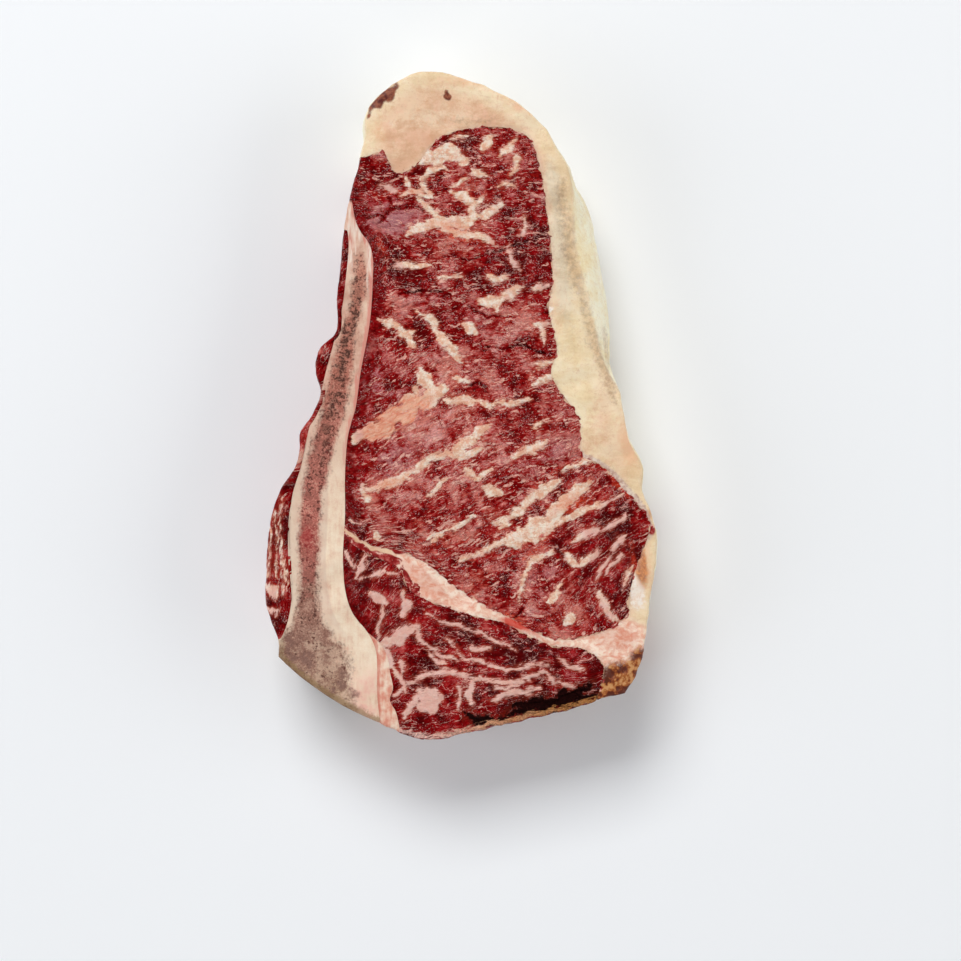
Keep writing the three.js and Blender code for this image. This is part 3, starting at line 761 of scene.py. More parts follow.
# %% The streaks in the large muscle: width in mm, and the places along each
EYE_STREAKS = [
    (5.0, [(-18.6, 77.2), (-13.4, 79.4), (-8.6, 80.6), (-3.6, 81.8), (2.4, 78.6)]),
    (1.0, [(-3.2, 85.6), (-0.8, 86.8), (1.9, 87.0)]),
    (3.0, [(10.2, 86.2), (8.4, 84.2), (7.0, 82.3)]),
    (2.4, [(17.5, 85.5), (15.5, 82.5), (13.2, 81.2)]),
    (1.4, [(18.6, 80.6), (18.2, 77.4), (16.2, 74.8)]),
    (2.6, [(4.2, 75.4), (8.7, 74.4)]),
    (2.0, [(-12.2, 73.2), (-9.6, 75.4), (-6.2, 77.2), (-4.4, 76.2)]),
    (1.1, [(-17.6, 73.4), (-16.2, 70.2), (-14.8, 68.4)]),
    (1.6, [(-25.4, 71.2), (-22.2, 70.4), (-19.8, 69.4)]),
    (2.2, [(-19.2, 67.8), (-15.6, 69.6), (-12.4, 68.6), (-10.2, 67.2)]),
    (1.5, [(-11.8, 73.0), (-11.0, 70.4), (-8.6, 67.0)]),
    (2.6, [(-17.0, 55.0), (-12.8, 57.2), (-8.4, 58.8), (-4.0, 58.6)]),
    (2.4, [(-13.4, 66.4), (-9.2, 62.4), (-5.6, 59.4), (-0.8, 58.0)]),
    (3.6, [(-5.4, 58.8), (-0.6, 58.2), (3.2, 59.4), (7.0, 61.2)]),
    (2.7, [(6.4, 60.6), (9.8, 62.4), (13.8, 64.9)]),
    (3.0, [(3.0, 60.4), (5.2, 64.6), (7.4, 66.8)]),
    (2.4, [(5.6, 65.2), (1.8, 66.6), (-2.2, 68.9)]),
    (2.8, [(-5.0, 57.4), (-1.6, 55.2), (3.2, 55.0), (7.6, 54.4), (10.8, 51.9)]),
    (1.0, [(-2.4, 70.6), (0.4, 71.6), (2.6, 73.4)]),
    (1.3, [(12.2, 70.2), (14.4, 71.4), (17.2, 70.6)]),
    (1.2, [(20.4, 60.6), (21.6, 58.0), (20.6, 55.4)]),
    (1.9, [(-20.4, 45.3), (-14.9, 45.0), (-9.4, 45.3)]),
    (1.8, [(15.2, 51.2), (16.5, 47.5), (18.4, 44.2)]),
    (1.9, [(9.4, 41.2), (12.0, 40.4), (14.9, 41.2)]),
    (2.8, [(5.8, 33.5), (11.6, 33.9), (15.2, 35.4), (20.6, 38.0)]),
    (1.9, [(11.3, 34.3), (12.0, 30.1)]),
    (1.2, [(-6.8, 40.6), (-3.0, 41.6), (0.4, 41.2)]),
    (1.6, [(24.3, 37.8), (28.8, 38.5)]),
    (2.2, [(-14.2, 30.6), (-10.7, 29.1), (-7.4, 26.5)]),
    (3.0, [(-8.4, 27.5), (-7.7, 24.4), (-5.0, 20.7), (-2.6, 17.8), (0.6, 14.4)]),
    (2.0, [(-25.4, 27.6), (-21.0, 25.5), (-17.8, 23.6)]),
    (2.9, [(-19.4, 23.6), (-16.5, 22.3), (-15.2, 19.1)]),
    (2.6, [(1.2, 25.8), (4.4, 24.2)]),
    (1.9, [(24.3, 25.9), (28.8, 26.2)]),
    (1.3, [(26.5, 25.9), (27.2, 19.7)]),
    (1.9, [(24.3, 12.6), (27.5, 13.6), (30.1, 14.2)]),
    (2.3, [(23.6, 6.5), (26.8, 7.8), (30.7, 9.4)]),
    (2.3, [(-2.3, 8.7), (2.3, 8.1)]),
    (4.3, [(-12.4, 11.2), (-11.2, 7.2), (-8.6, 4.4)]),
    (1.6, [(-14.6, 5.8), (-13.0, 3.0), (-12.0, 1.8)]),
    (6.8, [(-6.4, 4.0), (-13.3, 0.6), (-19.1, -3.2), (-26.2, -7.6), (-33.0, -11.4)]),
    (2.8, [(-4.6, 1.7), (-0.3, 1.2), (5.4, 0.8)]),
    (1.5, [(5.4, 0.8), (9.2, -0.2), (12.8, 0.6)]),
    (1.9, [(12.0, 1.0), (15.8, 0.3), (22.4, 1.2)]),
    (1.9, [(23.6, -6.8), (27.5, -4.9)]),
    (4.2, [(-1.2, -14.6), (1.6, -12.4), (5.4, -10.6)]),
    (2.6, [(4.2, -10.7), (5.6, -8.4), (8.8, -6.2)]),
    (2.8, [(17.1, -17.2), (21.3, -14.9), (27.6, -11.8)]),
    (1.7, [(33.3, -21.0), (36.9, -19.4), (42.4, -17.2)]),
    (2.6, [(-31.4, -27.2), (-26.5, -26.7), (-21.4, -25.3), (-17.8, -23.6)]),
    (2.4, [(-18.4, -23.9), (-14.2, -21.2), (-9.6, -17.8), (-4.2, -15.4)]),
    (2.1, [(-4.2, -15.4), (1.6, -16.8), (7.4, -13.6)]),
    (2.5, [(-30.9, -26.2), (-29.4, -31.2)]),
    (1.5, [(-4.5, -40.8), (1.5, -38.0), (4.8, -35.8)]),
    (2.0, [(-10.2, -28.6), (-7.4, -27.2), (-5.0, -24.8)]),
    (1.8, [(-9.0, -44.4), (-6.4, -42.8), (-5.2, -41.8)]), (2.0, [(0.8, -20.2), (3.0, -22.0), (5.0, -23.0)]),
    (1.9, [(4.9, -24.2), (7.6, -22.6), (10.2, -20.9)]),
    (3.4, [(8.2, -26.4), (11.2, -28.2), (13.6, -28.6)]),
    (6.6, [(16.8, -44.8), (22.4, -41.4), (27.2, -38.2), (32.2, -33.8)]),
    (4.2, [(28.8, -35.0), (33.4, -31.2), (37.6, -28.2), (41.4, -26.0)]),
    (2.2, [(26.9, -43.3), (30.4, -39.2), (34.8, -35.9), (40.4, -33.9), (46.2, -31.8), (52.3, -28.9)]),
    (3.2, [(14.6, -37.4), (19.4, -33.9), (23.9, -30.0), (27.8, -26.7), (31.4, -24.8)]),
    (1.6, [(10.6, -38.8), (14.8, -36.4), (18.4, -34.4)]),
    (1.6, [(0.3, -50.5), (3.2, -49.2), (6.5, -48.2)]),
    (1.9, [(6.5, -48.2), (9.7, -46.2), (12.9, -44.6), (17.5, -42.4)]),
    (1.3, [(19.1, -63.7), (20.4, -58.5), (21.3, -53.4)]),
    (2.3, [(21.3, -53.4), (23.6, -50.5), (25.9, -48.8), (29.8, -47.2)]),
    (2.9, [(34.0, -48.2), (36.5, -50.8), (38.5, -52.1)]),
    (2.9, [(38.5, -52.1), (41.1, -50.1), (44.3, -47.9)]),
    (2.3, [(36.9, -44.6), (41.2, -41.4), (45.0, -40.2)]),
    (1.5, [(43.3, -42.4), (48.2, -39.5), (53.5, -36.6)]),
    (2.6, [(49.0, -46.8), (51.4, -43.9), (53.6, -42.4)]),
    (1.4, [(44.0, -55.9), (45.6, -52.7), (48.2, -49.0)]),
    (1.3, [(47.2, -54.7), (48.8, -51.7), (52.4, -48.2)]),
    (2.2, [(44.4, -60.4), (45.9, -63.7), (47.9, -66.9), (51.0, -70.6)]),
    (2.2, [(29.0, -63.9), (30.6, -61.4), (32.6, -58.4)]),
    (3.2, [(34.4, -70.6), (35.6, -67.4)]),
    (1.2, [(52.6, -58.6), (54.0, -55.0), (55.4, -51.6)]),
    (1.6, [(12.6, -39.8), (16.5, -38.5)]),
    (1.5, [(-10.6, -43.4), (-8.2, -42.2), (-5.6, -42.8)]),
    (1.4, [(-27.4, -41.0), (-26.4, -43.6)]),
    (1.2, [(-36.0, -36.6), (-32.6, -38.2)]),
]
print("streaks in the large muscle:", len(EYE_STREAKS))

# %% The streaks in the small muscles
LOWER_STREAKS = [
    (0.9, [(-10.1, -68.2), (-5.9, -70.3), (-0.2, -71.8), (6.8, -73.9), (12.5, -76.7), (18.1, -78.8)]),
    (1.1, [(-14.3, -71.5), (-12.9, -76.0), (-8.7, -79.5), (-5.2, -81.6), (-1.6, -82.2)]),
    (1.1, [(-0.2, -80.9), (7.5, -83.1), (14.6, -85.2), (21.6, -84.6), (28.6, -83.8)]),
    (1.4, [(-21.4, -93.7), (-17.9, -90.8), (-12.9, -88.0), (-6.6, -86.6), (-0.2, -86.6), (6.8, -88.7)]),
    (7.2, [(-12.4, -97.6), (-9.9, -95.2), (-8.0, -93.0)]),
    (2.6, [(-13.4, -94.0), (-15.4, -97.6), (-17.6, -101.0)]),
    (2.4, [(3.9, -88.9), (3.2, -93.1), (3.9, -97.6)]),
    (1.4, [(-0.8, -91.0), (0.4, -94.6), (-0.6, -98.6)]),
    (1.8, [(10.6, -95.4), (15.5, -93.6), (20.3, -92.9), (25.4, -91.4)]),
    (1.4, [(26.9, -86.0), (30.4, -89.6), (36.6, -91.2)]),
    (1.4, [(18.6, -88.8), (23.4, -87.6), (27.8, -86.4)]),
    (2.8, [(-28.2, -61.2), (-25.9, -62.7), (-23.4, -64.7)]),
    (2.8, [(-18.2, -60.8), (-17.6, -64.4), (-18.6, -67.8)]),
    (1.4, [(-24.6, -64.4), (-25.2, -68.9), (-26.4, -73.4), (-27.0, -77.3)]),
    (4.2, [(-25.6, -78.6), (-21.6, -75.9), (-17.6, -73.6), (-14.3, -72.5)]),
    (3.4, [(-24.6, -79.4), (-22.6, -82.5), (-24.9, -85.4)]),
    (1.4, [(-18.8, -82.6), (-17.9, -86.6)]),
    (1.3, [(-36.6, -47.0), (-35.3, -50.0), (-34.1, -52.7)]),
    (1.3, [(-29.9, -47.4), (-31.3, -51.3), (-33.3, -56.0)]),
    (1.2, [(-33.2, -56.4), (-28.8, -55.6), (-24.2, -54.1), (-20.0, -54.5)]),
    (1.5, [(-22.4, -84.4), (-19.0, -88.3), (-17.4, -92.9)]),
    (1.2, [(-10.0, -80.2), (-7.8, -83.1), (-4.5, -84.4)]),
    (1.5, [(6.1, -87.6), (11.0, -89.4), (15.8, -89.9), (22.3, -89.0)]),
    (1.0, [(32.0, -82.5), (35.9, -84.4), (40.1, -85.7)]),
    (1.8, [(11.2, -91.5), (15.1, -92.0), (18.4, -90.8)]),
    (1.1, [(4.0, -78.4), (6.6, -79.6), (9.4, -79.0)]),
    (1.0, [(-4.8, -75.6), (-2.6, -76.8), (-0.4, -78.6)]),
]
SIDE_STREAKS = [
    (0.5, [(-60.5, -28), (-61.5, -42), (-62, -56)]),
    (3.4, [(-62.8, -58.5), (-60.8, -60.2), (-59.4, -62)]),
    (1.8, [(-62.9, -66.0), (-60.3, -66.8), (-58.6, -66.0)]),
    (1.0, [(-57.6, -50), (-56, -54), (-56.2, -57)]),
    (0.4, [(-57.5, -30), (-57.8, -48), (-57, -62)]),
    (0.5, [(-59.6, -34), (-59.0, -46), (-59.8, -55)]),
    (0.7, [(-48.6, 14), (-47.6, 8), (-48.2, 2)]),
]
EXTRA = 0.9  # mm, how far the streaks' places are bent


def streak_field(x, y, streaks):
    """The largest, over all strokes, of half width times a taper and a chance swell, minus the distance
    to the stroke. The taper is full along the middle and falls to a third at the ends."""
    wx = x + EXTRA * noise(x / 4.3, y / 4.3, 0.3, 2) + 0.3 * noise(x / 1.7, y / 1.7, 0.9)
    wy = y + EXTRA * noise(x / 4.3, y / 4.3, 7.7, 2) + 0.3 * noise(x / 1.7, y / 1.7, 5.9)
    swell = 1 + 0.6 * noise(x / 3.6, y / 3.6, 3.1, 2)
    field = np.full(x.shape, -6.0)
    for width, places in streaks:
        places = np.array(places, float)
        low, high = places.min(0) - 6, places.max(0) + 6
        near = np.flatnonzero((wx > low[0]) & (wx < high[0]) & (wy > low[1]) & (wy < high[1]))
        here = np.stack([wx[near], wy[near]], 1)
        lengths = np.hypot(*np.diff(places, axis=0).T)
        run = np.concatenate([[0], np.cumsum(lengths)]) / lengths.sum()
        for n, (a, b) in enumerate(zip(places, places[1:])):
            t = np.clip(((here - a) @ (b - a)) / ((b - a) @ (b - a)), 0, 1)
            gap = np.hypot(*(here - a - t[:, None] * (b - a)).T)
            whole = run[n] + t * (run[n + 1] - run[n])
            taper = 0.34 + 0.66 * np.sin(np.pi * np.clip(whole, 0.02, 0.98)) ** 0.5
            field[near] = np.maximum(field[near], width / 2 * taper * swell[near] - gap)
    return field


# %% [markdown]
# ## The lean
#
# Three pieces are lean: the big eye, the darker muscle under it, and what is left on the outside of the
# bone. Their relief is two sizes of fibre bundles with grooves between. Beside the streaks each point
# keeps its tone, which is the chance tone of its bundle with listed dark and bright places, how
# deep it lies in a groove, how wet and how dried it is, how far it is from the fat and from the bone,
# and its place along and across the grain.

# %% Where the lean is dark, pale, bright red, wet or dried, and where a purple-grey sheen is painted on it
# Darker places. The one at (-26, 68.5) is painted shade in the fold that opens beside the bone's tip
DARK = [
    (-31, 80.5, 7, 5, 0, 1.0), (-26, 68.5, 9, 3.2, 4, 2.6), (-27.5, 40, 3.6, 17, 0, 1.5),
    (25, 53, 7, 8, 0, 0.8), (14, 58, 6, 3, 30, 0.9), (50, -38, 13, 8, 40, 1.5), (36, -22.5, 11, 3, 14, 1.0),
    (12, -49, 9, 2.6, 10, 0.7), (5.5, 6, 3.2, 1.8, 0, 2.2), (-32.5, -12, 2.4, 24, 4, 1.6),
    (-18, 17, 7, 2.6, 0, 0.9), (-2, 22, 7, 3, 10, 0.5), (27, -50, 8, 6, 20, 0.5),
    (2, -74.5, 16, 5, -17, 1.6),
    (-30, -51, 7, 4, -40, 1.0), (-60, -66, 4, 7, 0, 0.8), (46, -66, 7, 5, 60, 0.7), (28, 30, 3, 8, 0, 0.5),
    (-40, 40, 3, 16, 0, 1.0), (-47.5, 8, 4, 8, 0, 1.0), (24, -80.5, 20, 3.4, -8, 1.0),
    (8, -12, 6, 3, 30, 0.5),
    (-33, -42, 4, 5, 0, 1.4), (2, 86, 7, 2.4, 5, 0.9), (-9, 90, 3, 4, 0, 0.8), (24, 80, 4, 6, -30, 0.6),
    (-8, -33, 9, 2.2, 20, 0.4), (19, -8, 9, 2.4, 20, 0.6), (-15, 20, 4, 2, 0, 0.9),
    (33, -72, 12, 2.2, -6, 0.9),
    (9, 70, 22, 17, 0, 0.75), (18, 44, 10, 24, 0, 0.7),
    (-24, 46, 6, 13, 0, 1.0), (50, -54, 10, 15, 15, 1.3), (-32, -55, 5, 8, 0, 0.9), (14, -38, 8, 3, 24, 1.1),
    (-4, -46, 12, 4, -20, 0.6), (23, 16, 6, 9, 0, 0.5), (-2.5, 60.8, 3, 2.2, 0, 0.9),
    (41, -88, 7, 4, -20, 0.9), (-33, -34, 2.6, 9, 0, 1.1),
    (-25, 36, 6, 14, 0, 0.9), (18, 40, 9, 9, 0, 0.8), (28.5, 28, 4, 16, 0, 0.9), (50, -36, 11, 9, 30, 1.2),
    (40, -62, 10, 8, 0, 0.5), (24, -86, 14, 5, 0, 0.8), (44, -46, 12, 8, 20, 0.3), (12, 46, 10, 5, 0, 0.6),
    (15, 54, 9, 4, 0, 0.9), (-20, 45, 7, 6, 0, 0.8), (-24, 20, 5, 7, 0, 0.7), (28, -22, 7, 3, 20, 0.8),
    (-5, -48, 16, 8, -20, 0.6),
]
# Paler places. Those at (-21, 58) and (-30, -60) are painted sheen, where the wet lean reflects the light
PALE = [
    (-21, 58, 8, 5, 0, 0.9), (11, 14, 20, 12, 0, 0.6), (-8, 40, 16, 8, 0, 0.5), (0, -24, 16, 9, 25, 0.6),
    (34, -15, 8, 5, 30, 0.9), (-30, -60, 6, 10, 0, 0.4), (10, 72, 16, 5, 0, 0.2), (-60, -45, 4, 18, 0, 0.3),
    (-14, -9, 9, 9, 0, 1.2), (-9, -19, 8, 4, 20, 0.5), (-2, 27, 5, 5, 0, 0.5), (8, -22, 9, 4, 20, 0.4),
    (-20, 31, 7, 4, 10, 0.6), (20, -62, 12, 6, 20, 0.4), (14, 42, 12, 6, 0, 0.4), (-2, -40, 14, 6, 20, 0.4),
    (-10, -10, 10, 7, 20, 0.5), (-19, 26, 5, 6, 0, 0.8), (10, 26, 8, 5, 0, 0.6), (15, -18, 8, 5, 20, 0.6),
    (4, -7, 6, 4, 0, 0.6), (-20, 62, 7, 4, 0, 0.6),
    (-20, -13, 8, 4, 20, 0.8), (10, -18, 8, 5, 20, 0.8), (-9, -8, 8, 5, 20, 0.6), (38, -52, 5, 4, 0, 0.6),
]
BLUSH = [
    (37.5, -32.0, 6, 2.6, 32, 1.6), (17, -69.3, 4.6, 1.6, -20, 1.7), (26, -45.5, 8, 1.6, 42, 0.9),
    (-26.5, 52, 3, 5, 0, 0.9), (-5, 56.2, 6, 1.2, -26, 1.3), (4, 53.2, 6, 1.2, -8, 0.9),
    (-12, 22, 6, 2, 30, 0.6), (56.5, -52, 1.6, 9, 10, 1.0), (52, -27, 8, 1.6, -52, 0.9),
    (0, -60, 14, 1.3, -35, 0.5),
    (-23, 68.5, 8, 1.6, 4, 0.6), (28, -24, 9, 1.4, 34, 0.5), (-14, 69, 4, 1.4, 0, 0.8),
    (22, -31, 6, 2, 40, 0.4),
]
ROSY = [
    (-19, -3, 11, 5, 26, 1.4), (-28, -8.5, 7, 4, 20, 0.8), (-24, -25.5, 9, 2.4, 14, 0.7),
    (-14, 69, 5, 2, 0, 0.7),
    (-2, 57, 9, 3, -16, 0.7), (34, -32, 8, 2.4, 36, 0.7), (-6, 22, 6, 3, -60, 0.3), (22, -16, 6, 2, 20, 0.5),
    (1, 1, 5, 1.4, -5, 0.6), (-26, -46.5, 9, 2, -16, 0.4), (8.5, -58, 9, 2, -36, 0.4),
]
# Patches where a purple-grey sheen is painted into the colour, as the wet lean's reflection of the light
SHEEN_PATCHES = [
    (-22, 60, 10, 7, 0, 1.1), (-16, 72, 9, 5, 0, 0.8), (22, 62, 8, 18, 0, 0.6), (-28, 8, 5, 9, 0, 0.9),
    (-22, 2, 5, 6, 0, 0.6), (30, -15, 10, 4, 30, 0.7), (-22, -18, 9, 5, 20, 0.7), (28, -55, 8, 7, 0, 0.5),
    (-32, -60, 6, 10, 0, 0.8), (38, -86, 10, 5, -10, 0.6), (-60, -50, 4, 14, 0, 0.6),
    (-41, 40, 4, 20, 0, 0.7),
    (-18, -102, 8, 3, -10, 0.8), (0, 32, 18, 8, 0, 0.3),
]
WET = [
    (48, -50, 15, 15, 0, 0.9), (14, -80, 40, 13, 0, 0.8), (-31, -58, 8, 12, 0, 1.2),
    (-30, 40, 4, 30, 0, 0.7),
    (-26, 60, 8, 10, 0, 0.8), (6, 5, 4, 3, 0, 1.0), (-32, -10, 3, 20, 0, 0.7),
]
# Where the lean has few flecks
PLAIN = [
    (48, -50, 14, 17, 0, 1.3), (-26, 60, 8, 10, 0, 0.6), (6, -68, 20, 8, -20, 0.5),
    (-29, 30, 4, 26, 0, 0.5),
]
# The black dried band, as strokes
DRIED = [
    (4.2, [(18.4, -97.0), (22.6, -97.6), (30.6, -96.3), (36.8, -93.6), (42.0, -90.6)]),
    (3.4, [(2.4, -100.6), (6.6, -102.2), (11.6, -102.4)]),
    (1.6, [(11.6, -102.4), (18.0, -99.4), (24.0, -99.2), (34.0, -97.2), (43.6, -93.6)]),
]
# Deep cracks between bundles, as thin strokes. They sink in the relief, and their shade is painted into the
# tone as well
CRACKS = [
    (1.0, [(-22.5, 67.5), (-22.2, 63.5), (-23.5, 60.5), (-27, 58.5)]),
    (0.9, [(-22.2, 63.5), (-16, 64.5), (-12, 63)]), (0.7, [(-30.5, 60.0), (-26.6, 61.6), (-23.5, 60.5)]),
    (0.7, [(16.6, -70.6), (18.8, -68.6), (20.6, -66.2)]),
    (0.7, [(30.9, -46.2), (33.2, -49.2), (34.6, -50.6)]),
    (0.8, [(2.6, 6.6), (5.6, 7.4), (9.0, 5.2)]),
    (0.6, [(8.4, 19.2), (13.8, 18.0), (20.4, 19.2), (27.8, 16.2)]),
    (0.6, [(-4.6, 48.0), (3.6, 46.6), (13.2, 49.8), (22.0, 53.0)]),
    (0.6, [(-19.6, 35.4), (-10.4, 36.6), (-2.6, 35.6)]), (0.6, [(2.6, 31.4), (9.0, 28.4), (17.8, 28.4)]),
]

# %% Lean relief and fields
BUNDLE = (6.2, 3.4)  # mm, along and across the grain
FASCICLE = (2.3, 1.35)


def bundles(x, y):
    """Grooves of both sizes, from 0 on a lump to 1 in a groove, and the bundle's own tone. The grid of
    cells is bent first by slow noise, so that no row of cells stays straight."""
    along, across = grain_at(x, y)
    along = along + 2.2 * noise(x / 7, y / 7, 2.2, 2) + 0.6 * noise(x / 2.2, y / 2.2, 8.2)
    across = across + 1.7 * noise(x / 7, y / 7, 5.1, 2) + 0.5 * noise(x / 2.2, y / 2.2, 4.4)
    wide, tone = cells(along / BUNDLE[0], across / BUNDLE[1])
    small, own = cells(along / FASCICLE[0], across / FASCICLE[1])
    return np.exp(-wide / 0.08), np.exp(-small / 0.15), 0.6 * tone + 0.4 * own


def lean_relief(streaks):
    """Bundles stand up between their grooves, fat streaks stand a little proud, cracks sink, and the piece
    rounds off a little at its border."""
    def relief(x, y, edge, rim):
        wide, small, tone = bundles(x, y)
        fat = ease(-0.4, 0.5, streak_field(x, y, streaks))
        lean = 0.3 * tone - 0.42 * wide - 0.12 * small + 0.42 * noise(x / 2.6, y / 2.6, 1.7, 2)
        crack = ease(-0.5, 0.3, streak_field(x, y, CRACKS))
        return lean * (1 - 0.75 * fat) + 0.2 * fat - 0.9 * crack - 0.15 * np.exp(-((edge / 0.6) ** 2))
    return relief


def drift(x, y, z):
    """Deeper down the pattern is shifted by slow noise, so the lower face isn't a copy of the upper."""
    depth = np.clip((THICKNESS - 1.5 - z) / THICKNESS, 0, 1)
    return (
        x + 11 * depth * noise(x / 30, y / 30, 0.4 + z / 60),
        y + 11 * depth * noise(x / 30, y / 30, 9.4 + z / 60),
    )


FAT_LINES = np.vstack([EYE_AGAINST_FAT, EYE_AGAINST_SEAM, SEAM_AGAINST_LOWER])[::2]
BONE_EDGE = BONE_RIGHT[::3]
BARE_BONE = [(-46, 3.5, 2.6, 3.2, 0, 1.2), (-51.5, -17, 2.2, 2.8, 0, 1.2)]


def gap_to(points, line_points):
    """The distance to a line, seen from above, and 6 mm wherever it is more."""
    return np.minimum(nearest(points[:, :2], line_points)[1], 6)


def lean_fields(points, streaks, deep, plain):
    """Everything the lean's material needs at each point."""
    x, y = drift(*points.T)
    along, across = grain_at(x, y)
    wide, small, tone = bundles(x, y)
    slow = noise(x / 17, y / 17, 3.3, 2)
    # The tone is painted darker in the cracks, as the shade in them
    crack = ease(-0.45, 0.1, streak_field(x, y, CRACKS))
    return dict(
        streak=streak_field(x, y, streaks),
        tone=0.55 * tone + 0.5 * slow + patches(x, y, PALE) - patches(x, y, DARK) - deep - 2.4 * crack,
        groove=np.clip(0.8 * wide + 0.5 * small, 0, 1),
        blush=patches(x, y, BLUSH),
        rosy=patches(x, y, ROSY),
        cool=patches(x, y, SHEEN_PATCHES),
        wet=patches(x, y, WET),
        plain=patches(x, y, PLAIN) + plain,
        dried=streak_field(x, y, DRIED),
        bare=patches(x, y, BARE_BONE),
        fat_edge=gap_to(points, FAT_LINES),
        bone_edge=gap_to(points, BONE_EDGE),
        skirt=gap_to(points, RIM_LINE[::3]) + ease(-95, -90, y) * 6,
        grain=np.stack([along, across, points[:, 2] * 0.35], 1),
    )


LEAN_PIECES = {
    "eye_lean": ("eye", "eye_muscle", EYE_STREAKS, 0.0, 0.0),
    "lower_lean": ("lower", "lower_muscle", LOWER_STREAKS, 1.9, 1.6),
    "side_lean": ("side", "side_muscle", SIDE_STREAKS, 1.0, 1.6),
}
lean_pieces = [
    built(
        name, SIDES[sides], lean_relief(streaks), node,
        partial(lean_fields, streaks=streaks, deep=deep, plain=plain),
    )
    for name, (sides, node, streaks, deep, plain) in LEAN_PIECES.items()
]

# %% [markdown]
# ## The fat
#
# Firm fat cuts smooth. Its relief is a few soft waves and thin tears, and along the back it rolls over
# softly towards the outer slope. It keeps where it is peach, grey, brown from drying, gold in the
# crusted corner, or white. Left of the seam's body only a pale strand is fat, and the rest there is
# lean, so the seam keeps how much flesh shows in it.

# %% Where the fat is peach, grey, brown, gold, white or cream
PEACH = [
    (20, 97, 10, 3, -26, 0.7), (0, 104.5, 15, 2.4, 0, 0.7), (-26, 88, 4, 7, 0, 0.7), (-16, 78, 6, 4, 0, 0.3),
    (54.5, -13, 4, 10, 10, 1.1), (51, -76, 9, 5, 0, 0.8), (-12, -56.5, 9, 3.2, -40, 1.2),
    (-7, -59.5, 9, 1.2, -35, 0.6),
    (60, -50, 2.4, 15, 8, 0.8), (12, -66, 8, 2, -25, 0.6), (20, 97, 3, 1, 40, 0.6), (47, 8, 3, 8, 20, 0.4),
]
GREY = [
    (32.5, 46, 24, 3.2, -84, 1.0), (30, 72, 8, 2.6, -80, 0.7), (-8, 93, 14, 6, 8, 0.4),
    (53, -25, 9, 1.4, -52, 0.6),
]
SMUDGES = [
    (3.0, [(33.2, 73.0), (33.0, 66.9), (34.3, 60.5), (34.9, 53.6), (35.6, 47.5), (37.8, 41.0), (40.4, 34.6)]),
    (2.2, [(40.4, 34.6), (42.4, 21.7), (45.0, 16.0), (46.6, 12.0), (50.0, 1.0)]),
    (3.4, [(34.0, 58.5), (35.8, 55.4)]), (1.2, [(-2, 92), (5, 91), (12, 92.5)]),
    (1.6, [(48.6, 24), (49.3, 19), (49.5, 14)]), (1.6, [(56.6, -33.0), (59.4, -37.4), (61.8, -41.6)]),
]
SCABS = [
    (3.6, [(-28.0, 96.6), (-25.4, 98.9), (-22.4, 101.4), (-20.4, 103.2)]),
    (0.9, [(-29.6, 92.6), (-28.9, 94.9), (-28, 97)]),
    (2.9, [(-4.0, 101.0), (-3.8, 98.8)]),
]
GOLD = [(54, -90, 9, 6.0, -20, 1.8), (58.5, -82, 3.4, 5, 10, 1.1), (46, -94, 7, 3.0, 12, 1.1)]
GREY_SKIN = [(50, -26, 16, 3.6, -42, 1.4), (61, -42, 3, 4, 0, 0.6)]
WHITE = [
    (57.2, -61.4, 2.9, 5.2, 4, 1.05), (56.0, -57.0, 1.8, 2.6, 0, 0.7), (20, 80, 5, 3, -20, 0.4),
    (39.4, 46, 1.6, 16, -6, 0.4),
    (28.5, 31, 2.0, 1.2, 0, 0.9), (-22.5, 90, 4, 4, 0, 0.3),
]
CREAM = [(36, 8, 9, 22, 10, 1.2), (50, -22, 9, 9, 0, 0.5), (38, 30, 5, 14, 0, 0.6)]
SEAM_STRANDS = [
    (2.0, [(-37.0, -40.6), (-34.0, -43.4), (-30.6, -45.7), (-26.6, -46.8), (-21.4, -48.0), (-16.0, -51.0)]),
    (3.4, [(-19.0, -49.6), (-15.0, -52.6), (-10.0, -55.4)]), (1.2, [(-20.5, -53.2), (-18.6, -50.6)]),
]
AMBER = [(57.8, -49.5, 2.0, 8, 10, 2.0), (60.0, -36.5, 2.0, 4.5, -40, 0.9), (48, -87, 4, 1.6, 20, 0.6)]
FAT_FLESH = [(61.9, -40.4, 1.9, 2.2, 0, 1.4)]
FAT_BLUSH = [(17.5, -70.6, 4.6, 1.6, -20, 1.5), (24, -74, 4, 1.6, -20, 0.5)]


# %% Fat piece
def fat_relief(x, y, edge, rim):
    """Soft waves, faint tears, a crumbly crust, and a soft roll along the back."""
    tears = np.exp(-(cells(x / 6 + noise(x / 9, y / 9), y / 9 + noise(x / 7, y / 7, 4.0))[0]) / 0.03)
    crust = np.clip(patches(x, y, GOLD), 0, 1)
    waves = 0.28 * noise(x / 4.5, y / 4.5, 2.6, 3) + crust * 0.5 * noise(x / 2, y / 2, 8.1, 2)
    back = ease(0, 20, y) * ease(86, 66, y) * ease(10, 30, x)
    white = 0.5 * np.clip(patches(x, y, WHITE[:1]), 0, 1)
    roll = 1.2 * back * np.exp(-((rim / 3) ** 2))
    sunk = 0.12 * np.exp(-((edge / 0.8) ** 2))
    return waves + white - 0.1 * tears - roll - sunk


